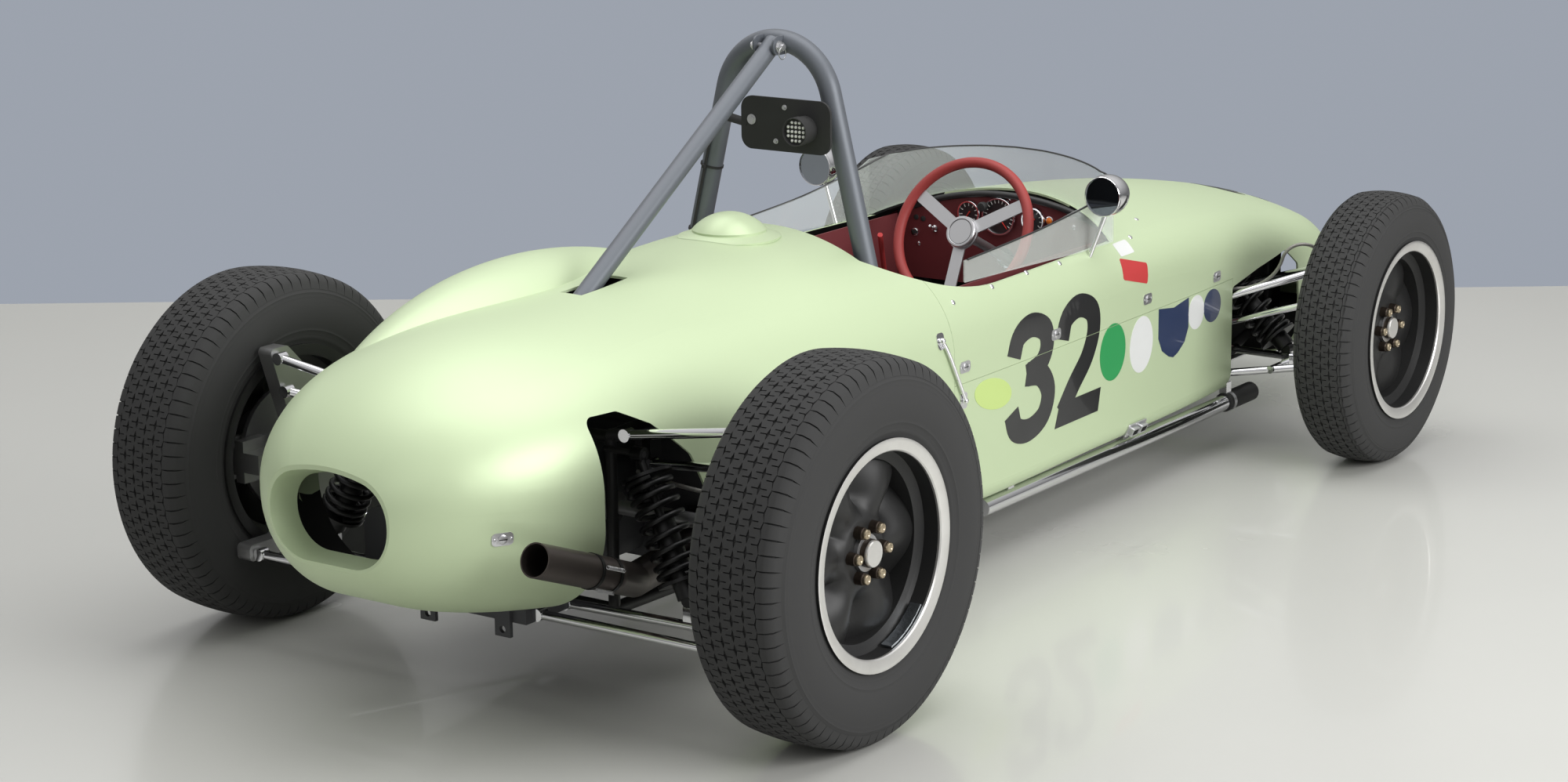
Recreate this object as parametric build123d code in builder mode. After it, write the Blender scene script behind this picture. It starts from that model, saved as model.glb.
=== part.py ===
from build123d import *
from math import asin, atan2, cos, hypot, sin, sqrt, tan
import os

# Open wheel racing car of about 1961, rear engined, with one seat.
# Frame: +X forward, +Y to the car's left, +Z up, ground at Z = 0, millimetres.
# Pieces of the rear half are placed from the rear axle, pieces of the front half from the front axle.
os.makedirs("parts", exist_ok=True)

# Driving dimensions
WHEELBASE = 2286.0
REAR_X = -1215.0
FRONT_X = REAR_X + WHEELBASE
SEAT = 0.3
SKIN = 5.0
SHUT_GAP = 0.8

# Wheels: x of the axle, track, tyre radius, tyre half width, rim half width, web face, cap face
FRONT_TRACK = 1315.0
REAR_TRACK = 1385.0
FRONT_TYRE_R = 317.0
REAR_TYRE_R = 350.0
FRONT_TYRE_HALF = 80.0
REAR_TYRE_HALF = 100.0
FRONT_RIM_HALF = 82.0
REAR_RIM_HALF = 93.0
FRONT_WEB = 22.0
REAR_WEB = 46.0
FRONT_CAP = 43.0
REAR_CAP = 68.0
BEAD_R = 190.5
LIP_R = 208.0
LIP_T = 6.0
WELL_R = 170.0
RIM_T = 5.5
NUT_PCD = 95.0
NUTS = 6
DISC_R = 122.0
DISC_FRONT = -36.0
DISC_REAR = -56.0
DISC_T = 10.0
DISC_AIR = 5.0

# Body
SILL_Z = 592.0
SPLIT_Z = 421.0
PANEL_REAR = 876.0
BAY_REAR = -136.0
BAY_FRONT = 274.0
TRAY_HALF = 301.0
TRAY_Z = 147.0
TRAY_T = 3.0
COCKPIT_FRONT = -551.0
COCKPIT_FRONT_R = 483.0
COCKPIT_BACK = 762.0
DASH_X = -588.0

# Frame and suspension
TUBE_R = 12.7
RAIL_Z = TRAY_Z + TRAY_T + SEAT + TUBE_R
LINK_R = 9.0
EYE_R = 12.0
PIN_R = 6.0
WISH_REAR = -170.0
WISH_FRONT = 154.0
KINGPIN_Y = 585.0
BALL_LOW = 216.0
BALL_TOP = 462.0
UPRIGHT_IN = 550.0
UPRIGHT_OUT = 584.0
SPRING_R = 38.0
SPRING_WIRE = 9.5

# Steering
STEER_X = -772.0
STEER_Z = 598.0
STEER_R = 165.0
RIM_TUBE_R = 12.0
RACK_X = -110.0
RACK_Z = 280.0
ARM_Z = 405.0

# Frame rails beside the cockpit
FRAME_HALF = 300.0
FRAME_TOP = 560.0

# Roll hoop: two leaning legs joined by one bend, tangent to both
HOOP_X = 805.0
HOOP_R = 22.0
HOOP_FOOT_Y = 236.0
HOOP_FOOT_Z = FRAME_TOP + TUBE_R + SEAT
HOOP_TOP = 1110.0
HOOP_BEND_R = 132.0
hoop_rise = HOOP_TOP - HOOP_BEND_R - HOOP_FOOT_Z
lean = atan2(HOOP_FOOT_Y, hoop_rise) - asin(HOOP_BEND_R / hypot(HOOP_FOOT_Y, hoop_rise))
bend_y = HOOP_BEND_R * cos(lean)
bend_z = HOOP_TOP - HOOP_BEND_R + HOOP_BEND_R * sin(lean)


def rear(x, y, z):
    return (REAR_X + x, y, z)


def front(x, y, z):
    return (FRONT_X + x, y, z)


def finish(piece, label):
    piece.part.label = label
    export_step(piece.part, "parts/" + label + ".step")


def bar(start, end, radius, mode=Mode.ADD):
    """A round bar between two points, added to the part that is open."""
    run = Vector(*end) - Vector(*start)
    with BuildSketch(Plane(origin=start, z_dir=run)) as round_end:
        Circle(radius)
    extrude(round_end.sketch, amount=run.length, mode=mode)


def eye(centre, axis, radius, width, bore):
    """A round link eye with its bore, centred on a point."""
    across = Vector(*axis).normalized()
    with BuildSketch(Plane(origin=Vector(*centre) - across * (width / 2), z_dir=across)) as ring:
        Circle(radius)
        if bore:
            Circle(bore, mode=Mode.SUBTRACT)
    extrude(ring.sketch, amount=width)


def slab(x0, x1, y0, y1, z0, z1, mode=Mode.ADD):
    """A rectangular block between two corners."""
    with Locations(((x0 + x1) / 2, (y0 + y1) / 2, (z0 + z1) / 2)):
        Box(abs(x1 - x0), abs(y1 - y0), abs(z1 - z0), mode=mode)


# Body sections. Each outline has a bottom line, two bottom corners, two straight sides,
# two shoulder arcs and one crown arc, all tangent.
# Columns: place, x from that axle, crown height, bottom height, half width, shoulder centre height,
# shoulder radius, bottom corner radius
SECTIONS = (
    (rear, -560, 524, 340, 143, 440, 76, 94),
    (rear, -500, 585, 277, 218, 450, 125, 164),
    (rear, -420, 634, 243, 274, 450, 170, 190),
    (rear, -200, 694, 213, 350, 445, 220, 165),
    (rear, 150, 708, 185, 372, 450, 230, 110),
    (rear, 600, 742, 155, 375, 470, 220, 60),
    (rear, 1000, 719, 145, 378, 480, 180, 40),
    (rear, 1350, 694, 145, 373, 486, 150, 40),
    (front, -586, 668, 145, 366, 490, 120, 40),
    (front, -136, 625, 145, 352, 450, 130, 50),
    (front, 214, 570, 150, 330, 400, 130, 80),
    (front, 514, 490, 175, 290, 350, 110, 100),
    (front, 674, 400, 225, 205, 310, 70, 70),
    (front, 704, 374, 244, 178, 309, 55, 55),
)


def outline(x, crown, low, half, waist, shoulder, corner, inset=0.0):
    """One body section across the car, moved in by inset."""
    half = half - inset
    crown = crown - inset
    low = low + inset
    shoulder = shoulder - inset
    corner = corner - inset
    a = half - shoulder
    h = crown - waist
    crown_r = (a * a + h * h - shoulder * shoulder) / (2 * (h - shoulder))
    turn = atan2(waist - crown + crown_r, a)
    join = (crown_r * cos(turn), crown - crown_r + crown_r * sin(turn))
    mid = (a + shoulder * cos(turn / 2), waist + shoulder * sin(turn / 2))
    diag = corner * (1 - sqrt(0.5))
    with BuildSketch(Plane(origin=(x, 0, 0), x_dir=(0, 1, 0), z_dir=(1, 0, 0))) as section:
        with BuildLine():
            Line((-half + corner, low), (half - corner, low))
            ThreePointArc((half - corner, low), (half - diag, low + diag), (half, low + corner))
            Line((half, low + corner), (half, waist))
            ThreePointArc((half, waist), mid, join)
            ThreePointArc(join, (0, crown), (-join[0], join[1]))
            ThreePointArc((-join[0], join[1]), (-mid[0], mid[1]), (-half, waist))
            Line((-half, waist), (-half, low + corner))
            ThreePointArc((-half, low + corner), (-half + diag, low + diag), (-half + corner, low))
        make_face()
    return section.sketch


def body_form(inset):
    """The lofted body, moved in by inset."""
    loft([outline(row[0](row[1], 0, 0)[0], *row[2:], inset) for row in SECTIONS])


# The carburettor bulge on the left of the engine cover is a spindle that stands out of the skin.
BULGE = (200.0, 175.0, 600.0)
BULGE_HALF = 560.0
BULGE_R = 150.0


def bulge_form(inset):
    x, y, z = rear(*BULGE)
    half = BULGE_HALF - inset
    with BuildSketch(Plane(origin=(x, y, z), x_dir=(1, 0, 0), z_dir=(0, -1, 0))) as lens:
        with BuildLine():
            ThreePointArc((-half, 0), (0, BULGE_R - inset), (half, 0))
            Line((half, 0), (-half, 0))
        make_face()
    revolve(lens.sketch, axis=Axis((x, y, z), (1, 0, 0)))


with BuildPart() as skin_outer:
    body_form(0)
    bulge_form(0)

# The hollow stops short of both ends, where the mouth and the intake have thick rims.
with BuildPart() as skin_inner:
    body_form(SKIN)
    slab(REAR_X - 505, FRONT_X + 655, -500, 500, 0, 1000, mode=Mode.INTERSECT)
    bulge_form(SKIN)

# The body's outside grown by the seat, which trims what stands on it
with BuildPart() as deck_form:
    body_form(-SEAT)

with BuildPart() as shell:
    add(skin_outer.part)
    add(skin_inner.part, mode=Mode.SUBTRACT)


# The cockpit opening: a sill line seen from the side, and a rounded front seen from above.
SILL_BEND_X = 1110.0
SILL_BEND_R = 700.0


def sill_profile(lift, top):
    """The cockpit's side view, its lower edge raised by lift."""
    back = REAR_X + COCKPIT_BACK
    bend = REAR_X + SILL_BEND_X
    reach = bend - back
    rise = SILL_BEND_R - sqrt(SILL_BEND_R ** 2 - reach ** 2)
    half_rise = SILL_BEND_R - sqrt(SILL_BEND_R ** 2 - reach ** 2 / 4)
    floor = SILL_Z + lift
    tip = FRONT_X + COCKPIT_FRONT + 60
    with BuildSketch(Plane(origin=(0, 0, 0), x_dir=(1, 0, 0), z_dir=(0, -1, 0))) as side_view:
        with BuildLine():
            Line((back, top), (back, floor + rise))
            ThreePointArc((back, floor + rise), (bend - reach / 2, floor + half_rise), (bend, floor))
            Line((bend, floor), (tip, floor))
            Line((tip, floor), (tip, top))
            Line((tip, top), (back, top))
        make_face()
    return side_view.sketch


def cockpit_plan(inset, half, back):
    """The cockpit seen from above, with a rounded front."""
    tip = FRONT_X + COCKPIT_FRONT - inset
    radius = COCKPIT_FRONT_R - inset
    corner = tip - radius + sqrt(radius ** 2 - half ** 2)
    with BuildSketch(Plane.XY.offset(500)) as plan:
        with BuildLine():
            Line((back, -half), (corner, -half))
            ThreePointArc((corner, -half), (tip, 0), (corner, half))
            Line((corner, half), (back, half))
            Line((back, half), (back, -half))
        make_face()
    return plan.sketch


with BuildPart() as cockpit_space:
    extrude(sill_profile(0, 900), amount=400, both=True)
    extrude(cockpit_plan(0, 400, REAR_X + COCKPIT_BACK), amount=500, mode=Mode.INTERSECT)

# Engine cover and tail
ARCH = ((-225, 100), (-225, 578), (-150, 578), (-86, 546), (-4, 476), (38, 400), (38, 100))
# Slots for the radius rods: height, half height
ROD_SLOTS = ((470, 24), (215, 24))
with BuildPart() as tail_cowl:
    add(shell.part)
    slab(REAR_X - 700, REAR_X + PANEL_REAR - SHUT_GAP / 2, -500, 500, 0, 1000, mode=Mode.INTERSECT)
    # The tail's mouth narrows from the rolled lip to a flat-topped opening.
    mouth = outline(REAR_X - 505, 499, 352, 124, 430, 60, 74)
    loft([outline(REAR_X - 562, 516, 347, 137, 436, 72, 84), mouth], mode=Mode.SUBTRACT)
    extrude(mouth, amount=20, mode=Mode.SUBTRACT)
    # Wheel arch opening, right through and open below
    with BuildSketch(Plane(origin=(REAR_X, 0, 0), x_dir=(1, 0, 0), z_dir=(0, -1, 0))):
        with BuildLine():
            FilletPolyline(*ARCH, radius=18, close=True)
        make_face()
    extrude(amount=500, both=True, mode=Mode.SUBTRACT)
    # Bottom between the sills
    slab(REAR_X, REAR_X + 900, -TRAY_HALF, TRAY_HALF, 100, 330, mode=Mode.SUBTRACT)
    slab(REAR_X - 330, REAR_X - 200, -150, 150, 150, 300, mode=Mode.SUBTRACT)
    for rod_z, half_z in ROD_SLOTS:
        slab(REAR_X + 430, REAR_X + 660, -400, -300, rod_z - half_z, rod_z + half_z, mode=Mode.SUBTRACT)
        slab(REAR_X + 430, REAR_X + 660, 300, 400, rod_z - half_z, rod_z + half_z, mode=Mode.SUBTRACT)
    add(cockpit_space.part, mode=Mode.SUBTRACT)
    # Slot for the hoop's stay and notches for the hoop's legs
    slab(REAR_X + 120, REAR_X + 262, -26, 26, 600, 800, mode=Mode.SUBTRACT)
    for side in (-1, 1):
        bar(rear(HOOP_X, side * HOOP_FOOT_Y, HOOP_FOOT_Z), rear(HOOP_X, side * bend_y, bend_z), HOOP_R + 4,
            Mode.SUBTRACT)
finish(tail_cowl, "tail_cowl")

# Front cowl: scuttle above the split line, and the whole nose ahead of the suspension
BAY = ((-137, 90), (-137, 400), (20, 420), (188, 434), (262, 388), (274, 300), (274, 90))
with BuildPart() as front_cowl:
    add(shell.part)
    slab(REAR_X + PANEL_REAR + SHUT_GAP / 2, FRONT_X + 800, -500, 500, 0, 1000, mode=Mode.INTERSECT)
    slab(REAR_X + 800, FRONT_X + BAY_REAR + 1, -500, 500, 50, SPLIT_Z + SHUT_GAP / 2, mode=Mode.SUBTRACT)
    with BuildSketch(Plane(origin=(FRONT_X, 0, 0), x_dir=(1, 0, 0), z_dir=(0, -1, 0))):
        with BuildLine():
            FilletPolyline(*BAY, radius=14, close=True)
        make_face()
    extrude(amount=500, both=True, mode=Mode.SUBTRACT)
    intake = outline(FRONT_X + 664, 350, 268, 146, 309, 36, 36)
    loft([outline(FRONT_X + 706, 358, 260, 156, 309, 42, 42), intake], mode=Mode.SUBTRACT)
    extrude(intake, amount=-25, mode=Mode.SUBTRACT)
    add(cockpit_space.part, mode=Mode.SUBTRACT)
finish(front_cowl, "front_cowl")

# Side panels below the split line
for side, label in ((-1, "side_panel_right"), (1, "side_panel_left")):
    with BuildPart() as side_panel:
        add(shell.part)
        slab(REAR_X + PANEL_REAR + SHUT_GAP / 2, FRONT_X + BAY_REAR, side * (TRAY_HALF + SEAT), side * 500,
             50, SPLIT_Z - SHUT_GAP / 2, mode=Mode.INTERSECT)
    finish(side_panel, label)

# Undertray, narrower between the front wheels
with BuildPart() as undertray:
    slab(REAR_X + 330, FRONT_X + BAY_REAR, -TRAY_HALF, TRAY_HALF, TRAY_Z, TRAY_Z + TRAY_T)
    slab(FRONT_X + BAY_REAR - 1, FRONT_X + BAY_FRONT - 2, -205, 205, TRAY_Z, TRAY_Z + TRAY_T)
finish(undertray, "undertray")

# Windscreen: a clear wall that stands on the cockpit's edge
SCREEN_T = 3.0
SCREEN_Y = 324.0
SCREEN_TOP = ((1000, 655), (1180, 664), (1355, 676), (1560, 700), (1690, 745), (1760, 764))
SCREEN_LEAD = 10.0
with BuildPart() as windscreen:
    extrude(cockpit_plan(-SCREEN_LEAD, SCREEN_Y, REAR_X + 900), amount=400)
    extrude(cockpit_plan(SCREEN_T - SCREEN_LEAD, SCREEN_Y - SCREEN_T, REAR_X + 890), amount=400, mode=Mode.SUBTRACT)
    extrude(sill_profile(SEAT, 900), amount=400, both=True, mode=Mode.INTERSECT)
    with BuildSketch(Plane(origin=(REAR_X, 0, 0), x_dir=(1, 0, 0), z_dir=(0, -1, 0))):
        with BuildLine():
            Polyline((SCREEN_TOP[0][0], 400), *SCREEN_TOP, (SCREEN_TOP[-1][0], 400), close=True)
        make_face()
    extrude(amount=400, both=True, mode=Mode.INTERSECT)
    add(deck_form.part, mode=Mode.SUBTRACT)
finish(windscreen, "windscreen")

# Filler dome on its brim, which follows the engine cover
DOME_X = 628.0
DOME_R = 75.0
DOME_Z = 742.0
DOME_RISE = 42.0
BRIM_R = 104.0
BRIM_T = 4.0
BRIM_DROOP = 6.0
# The dome is a cap of a ball
CAP_H = DOME_RISE - 2 * BRIM_T
CAP_R = (DOME_R * DOME_R + CAP_H * CAP_H) / (2 * CAP_H)
CAP_TURN = asin(DOME_R / CAP_R)
with BuildPart() as filler_dome:
    with BuildSketch(Plane(origin=(REAR_X + DOME_X, 0, DOME_Z), x_dir=(1, 0, 0), z_dir=(0, -1, 0))):
        with BuildLine():
            Line((0, -30), (BRIM_R, -30))
            Line((BRIM_R, -30), (BRIM_R, -BRIM_DROOP))
            Line((BRIM_R, -BRIM_DROOP), (DOME_R, BRIM_T))
            Line((DOME_R, BRIM_T), (DOME_R, 2 * BRIM_T))
            ThreePointArc((DOME_R, 2 * BRIM_T), (CAP_R * sin(CAP_TURN / 2), DOME_RISE - CAP_R * (1 - cos(CAP_TURN / 2))),
                          (0, DOME_RISE))
            Line((0, DOME_RISE), (0, -30))
        make_face()
    revolve(axis=Axis((REAR_X + DOME_X, 0, 0), (0, 0, 1)))
    add(deck_form.part, mode=Mode.SUBTRACT)
finish(filler_dome, "filler_dome")

# Dashboard across the scuttle, with holes for the frame's rails, the column and the gauges
COLUMN_TILT = atan2(STEER_Z - RACK_Z, RACK_X - STEER_X)
# Gauges: y, z, radius
GAUGES = ((93, 606, 28), (13, 606, 42), (-78, 606, 28))
with BuildPart() as dashboard:
    extrude(outline(FRONT_X + DASH_X, 668, 145, 366, 490, 120, 40, SKIN + 2 * SEAT), amount=4)
    slab(FRONT_X + DASH_X - 10, FRONT_X + DASH_X + 10, -500, 500, 440, 800, mode=Mode.INTERSECT)
    with BuildSketch(Plane(origin=(FRONT_X + DASH_X, 0, 0), x_dir=(0, 1, 0), z_dir=(1, 0, 0))):
        with Locations((-FRAME_HALF, FRAME_TOP), (FRAME_HALF, FRAME_TOP)):
            Circle(TUBE_R + SEAT)
        with Locations((0, STEER_Z - (DASH_X - STEER_X) * tan(COLUMN_TILT))):
            Circle(24)
    extrude(amount=4, mode=Mode.SUBTRACT)
    for gauge_y, gauge_z, gauge_r in GAUGES:
        eye((FRONT_X + DASH_X - 2, gauge_y, gauge_z), (1, 0, 0), gauge_r, 10, 0)
finish(dashboard, "dashboard")

# Space frame. Stations: place, x, lower half width, lower height, upper half width, upper height
STATIONS = (
    (rear, -60, 230, 175, 230, 500),
    (rear, HOOP_X, 240, RAIL_Z, FRAME_HALF, FRAME_TOP),
    (front, -496, 224, RAIL_Z, FRAME_HALF, FRAME_TOP),
    (front, WISH_REAR, 215, RAIL_Z, 215, 430),
    (front, WISH_FRONT, 190, RAIL_Z, 190, 420),
    (front, 400, 180, 215, 180, 400),
)
DAMPER_REAR_TOP = (-70, 302, 480)
DAMPER_REAR_LOW = (-95, 430, 235)
DAMPER_FRONT_TOP = (4, 236, 424)
DAMPER_FRONT_LOW = (4, 430, 236)
CROSS_R = 11.0
with BuildPart() as whole_frame:
    for side in (-1, 1):
        for across, up in ((2, 3), (4, 5)):
            corners = [row[0](row[1], side * row[across], row[up]) for row in STATIONS]
            with BuildLine() as rail:
                Polyline(*corners)
            with BuildSketch(Plane(origin=corners[0], z_dir=rail.line % 0)) as rail_end:
                Circle(TUBE_R)
            sweep(rail_end.sketch, path=rail.line, transition=Transition.RIGHT)
    for place, x, low_y, low_z, top_y, top_z in STATIONS:
        bar(place(x, -low_y, low_z), place(x, low_y, low_z), CROSS_R)
        bar(place(x, -top_y, top_z), place(x, top_y, top_z), CROSS_R)
        for side in (-1, 1):
            bar(place(x, side * low_y, low_z), place(x, side * top_y, top_z), CROSS_R)
    # Cross tube behind the steering rack
    bar(front(WISH_REAR, -215, RACK_Z - 10), front(WISH_REAR, 215, RACK_Z - 10), CROSS_R)
    for side in (-1, 1):
        # Pins that carry the dampers' upper eyes
        x, y, z = DAMPER_REAR_TOP
        bar(rear(x, side * 225, z), rear(x, side * (y + 12), z), PIN_R)
        x, y, z = DAMPER_FRONT_TOP
        bar(front(x, side * 195, z), front(x, side * (y + 12), z), PIN_R)
        # Lug and bracket for the two legs of the rear upper arm
        slab(REAR_X + 18, REAR_X + 42, side * 225, side * (230 + CROSS_R), 415, 505)
        bar(rear(-60, side * 230, 502), rear(-100, side * 262, 518), LINK_R)
        bar(rear(-100, side * 258, 518), rear(-100, side * (300 - EYE_R - SEAT), 522), LINK_R)
    # Cross tube and post under the stay's foot
    bar(rear(60, -233, 505), rear(60, 233, 505), TUBE_R)
    bar(rear(60, 0, 505), rear(60, 0, 608), TUBE_R)

# The frame is in three bolted sections, one round the engine, one round the driver and one at the front.
CUT_REAR = REAR_X + HOOP_X - 40
CUT_FRONT = FRONT_X - 456
# Columns: name, rear end, front end
FRAME_SECTIONS = (
    ("frame_rear", REAR_X - 400, CUT_REAR - SEAT),
    ("frame_middle", CUT_REAR, CUT_FRONT),
    ("frame_front", CUT_FRONT + SEAT, FRONT_X + 500),
)
for label, x0, x1 in FRAME_SECTIONS:
    with BuildPart() as section:
        add(whole_frame.part)
        slab(x0, x1, -500, 500, 0, 800, mode=Mode.INTERSECT)
    finish(section, label)


def hoop_form(radius):
    """The hoop's bent bar, its feet cut level."""
    with BuildLine(Plane(origin=rear(HOOP_X, 0, 0), x_dir=(0, 1, 0), z_dir=(1, 0, 0))) as path:
        Line((-HOOP_FOOT_Y, HOOP_FOOT_Z), (-bend_y, bend_z))
        ThreePointArc((-bend_y, bend_z), (0, HOOP_TOP), (bend_y, bend_z))
        Line((bend_y, bend_z), (HOOP_FOOT_Y, HOOP_FOOT_Z))
    with BuildSketch(Plane(origin=rear(HOOP_X, -HOOP_FOOT_Y, HOOP_FOOT_Z), z_dir=path.line % 0)) as round_end:
        Circle(radius)
    sweep(round_end.sketch, path=path.line)
    slab(REAR_X + 700, REAR_X + 900, -400, 400, 500, HOOP_FOOT_Z, mode=Mode.SUBTRACT)


with BuildPart() as roll_hoop:
    hoop_form(HOOP_R)
finish(roll_hoop, "roll_hoop")
with BuildPart() as hoop_clear:
    hoop_form(HOOP_R + SEAT)

# The hoop's stay, forked at the hoop and seated on the frame's post
STAY_R = 19.0
STAY_TOP = (HOOP_X - 15, HOOP_TOP - 4)
STAY_FOOT = (62.0, 632.0)
with BuildPart() as roll_stay:
    bar(rear(STAY_FOOT[0], 0, STAY_FOOT[1]), rear(STAY_TOP[0], 0, STAY_TOP[1]), STAY_R)
    add(hoop_clear.part, mode=Mode.SUBTRACT)
finish(roll_stay, "roll_stay")

# Engine as one plain block, and the gearbox behind it
with BuildPart() as engine:
    slab(REAR_X + 195, REAR_X + 650, -150, 150, 190, 600)
finish(engine, "engine")

LUG_Y = 90.0
LUG_T = 8.0
LUG_HALF = 18.0
LUG_Z = 152.0
LUG_BORE = 7.0
with BuildPart() as gearbox:
    with BuildSketch(Plane(origin=rear(-150, 0, 0), x_dir=(0, 1, 0), z_dir=(1, 0, 0))):
        with Locations((0, 310)):
            RectangleRounded(210, 225, 40)
    extrude(amount=195 + 150 - SEAT)
    with BuildSketch(Plane(origin=rear(-150, 0, 0), x_dir=(0, 1, 0), z_dir=(1, 0, 0))):
        with Locations((0, 320)):
            RectangleRounded(180, 190, 40)
    with BuildSketch(Plane(origin=rear(-400, 0, 0), x_dir=(0, 1, 0), z_dir=(1, 0, 0))):
        with Locations((0, 340)):
            RectangleRounded(130, 140, 40)
    loft()
    bar(rear(0, -135, 350), rear(0, 135, 350), 48)
    slab(REAR_X - 205, REAR_X - 60 - CROSS_R - SEAT, -140, 140, 166, 200)
    # Tie-down lugs behind the lower bracket
    for side in (-1, 1):
        slab(REAR_X - 205 - LUG_T, REAR_X - 205, side * (LUG_Y - LUG_HALF), side * (LUG_Y + LUG_HALF), 138, 200)
        with BuildSketch(Plane(origin=rear(-205 - LUG_T - 1, side * LUG_Y, LUG_Z), z_dir=(1, 0, 0))):
            Circle(LUG_BORE)
        extrude(amount=LUG_T + 2, mode=Mode.SUBTRACT)
finish(gearbox, "gearbox")

# Exhaust on the right: a long pipe that rises to the open tip, and a joint sleeve
EXHAUST_R = 31.0
EXHAUST_BORE = 28.5
EXHAUST_DEPTH = 150.0
EXHAUST = ((300, -190, 250), (170, -245, 250), (60, -275, 250), (-120, -322, 260), (-250, -374, 311))
EXHAUST_TIP = (-455, -374, 390)
bend = Vector(*rear(*EXHAUST[-1]))
tip = Vector(*rear(*EXHAUST_TIP))
along = (bend - tip).normalized()
slip_joint = bend - along * (EXHAUST_R + 1)
with BuildPart() as exhaust:
    for start, end in zip(EXHAUST, EXHAUST[1:]):
        bar(rear(*start), rear(*end), EXHAUST_R)
    for point in EXHAUST[1:]:
        with Locations(Location(rear(*point))):
            Sphere(EXHAUST_R)
    bar(bend, slip_joint, EXHAUST_R)
    slab(REAR_X + 262, REAR_X + 312, -205, -150 - SEAT, 222, 272)
finish(exhaust, "exhaust")

# Straight tail pipe, slipped on behind the last bend
with BuildPart() as tail_pipe:
    bar(slip_joint - along * SEAT, tip, EXHAUST_R)
    bar(tip - along, tip + along * EXHAUST_DEPTH, EXHAUST_BORE, mode=Mode.SUBTRACT)
finish(tail_pipe, "tail_pipe")

# Coolant pipes low on each side
COOLANT_R = 19.0
CLIP_X = (1150, 1650, 2150)
with BuildPart() as coolant_pipes:
    bar(rear(1040, -342, 141 - COOLANT_R), front(-10, -342, 141 - COOLANT_R), COOLANT_R)
    for x in CLIP_X:
        slab(REAR_X + x - 12, REAR_X + x + 12, -348, -329, 141 - COOLANT_R, 170)
    mirror(about=Plane.XZ)
    add(deck_form.part, mode=Mode.SUBTRACT)
finish(coolant_pipes, "coolant_pipes")

# Radiator inside the nose
with BuildPart() as radiator:
    slab(FRONT_X + 400 + CROSS_R + SEAT, FRONT_X + 460, -185, 185, 215, 400)
finish(radiator, "radiator")

# Seat: a bucket with a raked back
SEAT_HALF = 200.0
WING_T = 20.0
WING_LAP = 4.0
with BuildPart() as seat:
    with BuildSketch(Plane(origin=(REAR_X, -SEAT_HALF, 0), x_dir=(1, 0, 0), z_dir=(0, -1, 0))):
        with BuildLine():
            FilletPolyline((1420, 150.3), (1010, 150.3), (845, 560), (905, 585), (1060, 235), (1420, 225),
                           radius=18, close=True)
        make_face()
    extrude(amount=-2 * SEAT_HALF)
    # Side wings
    for wing_y in (-SEAT_HALF - WING_T + WING_LAP, SEAT_HALF - WING_LAP):
        with BuildSketch(Plane(origin=(REAR_X, wing_y, 0), x_dir=(1, 0, 0), z_dir=(0, -1, 0))):
            with BuildLine():
                FilletPolyline((1420, 150.3), (1420, 300), (1200, 320), (1075, 440), (990, 585), (905, 585),
                               (845, 560), (1010, 150.3), radius=14, close=True)
            make_face()
        extrude(amount=-WING_T)
finish(seat, "seat")

# Cockpit side trim
TRIM_T = 3.0
with BuildPart() as cockpit_trim:
    trim_y = FRAME_HALF - TUBE_R - SEAT
    slab(REAR_X + 860, FRONT_X + DASH_X - 15, -trim_y, -trim_y + TRIM_T, 330, 590)
    mirror(about=Plane.XZ)
finish(cockpit_trim, "cockpit_trim")

# Mirrors on struts
MIRROR = (1510.0, 376.0, 720.0)
with BuildPart() as mirrors:
    x, y, z = rear(*MIRROR)
    with BuildSketch(Plane(origin=(x, -y, z), x_dir=(1, 0, 0), z_dir=(0, -1, 0))):
        with BuildLine():
            Line((-30, 0), (-30, 43))
            ThreePointArc((-30, 43), (25, 36), (55, 0))
            Line((55, 0), (-30, 0))
        make_face()
    revolve(axis=Axis((x, -y, z), (1, 0, 0)))
    bar((x, -y, z - 20), (x - 8, -y + 46, 574), 5)
    mirror(about=Plane.XZ)
with BuildPart() as mirrors_seated:
    add(mirrors.part)
    add(deck_form.part, mode=Mode.SUBTRACT)
finish(mirrors_seated, "mirrors")

# Rain light plate on its arm
with BuildPart() as rain_light:
    with BuildSketch(Plane(origin=rear(744, -63, 949), x_dir=(0, 1, 0), z_dir=(-1, 0, 0))):
        RectangleRounded(218, 108, 26)
    extrude(amount=6)
    eye(rear(725, -112, 944), (1, 0, 0), 28, 40, 0)
    bar(rear(745, 30, 945), rear(795, 150, 950), 9)
    add(hoop_clear.part, mode=Mode.SUBTRACT)
finish(rain_light, "rain_light")

# Gear lever on the right of the cockpit
with BuildPart() as gear_lever:
    bar(rear(1400, -255, 360), rear(1420, -235, 490), 6)
    with Locations(rear(1420, -235, 500)):
        Sphere(18)
    slab(REAR_X + 1380, REAR_X + 1420, -284, -240, 350, 370)
finish(gear_lever, "gear_lever")

# Red hand lever on the left of the cockpit
with BuildPart() as hand_lever:
    bar(rear(1605, 268, 452), rear(1489, 205, 577), 6)
    slab(REAR_X + 1585, REAR_X + 1625, 255, FRAME_HALF - TUBE_R - SEAT - TRIM_T - SEAT, 436, 462)
finish(hand_lever, "hand_lever")


def link(start, end, radius=LINK_R):
    """A suspension link with a round eye at each end."""
    bar(start, end, radius)
    eye(start, (1, 0, 0), EYE_R, 22, 0)
    eye(end, (1, 0, 0), EYE_R, 22, 0)


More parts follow.
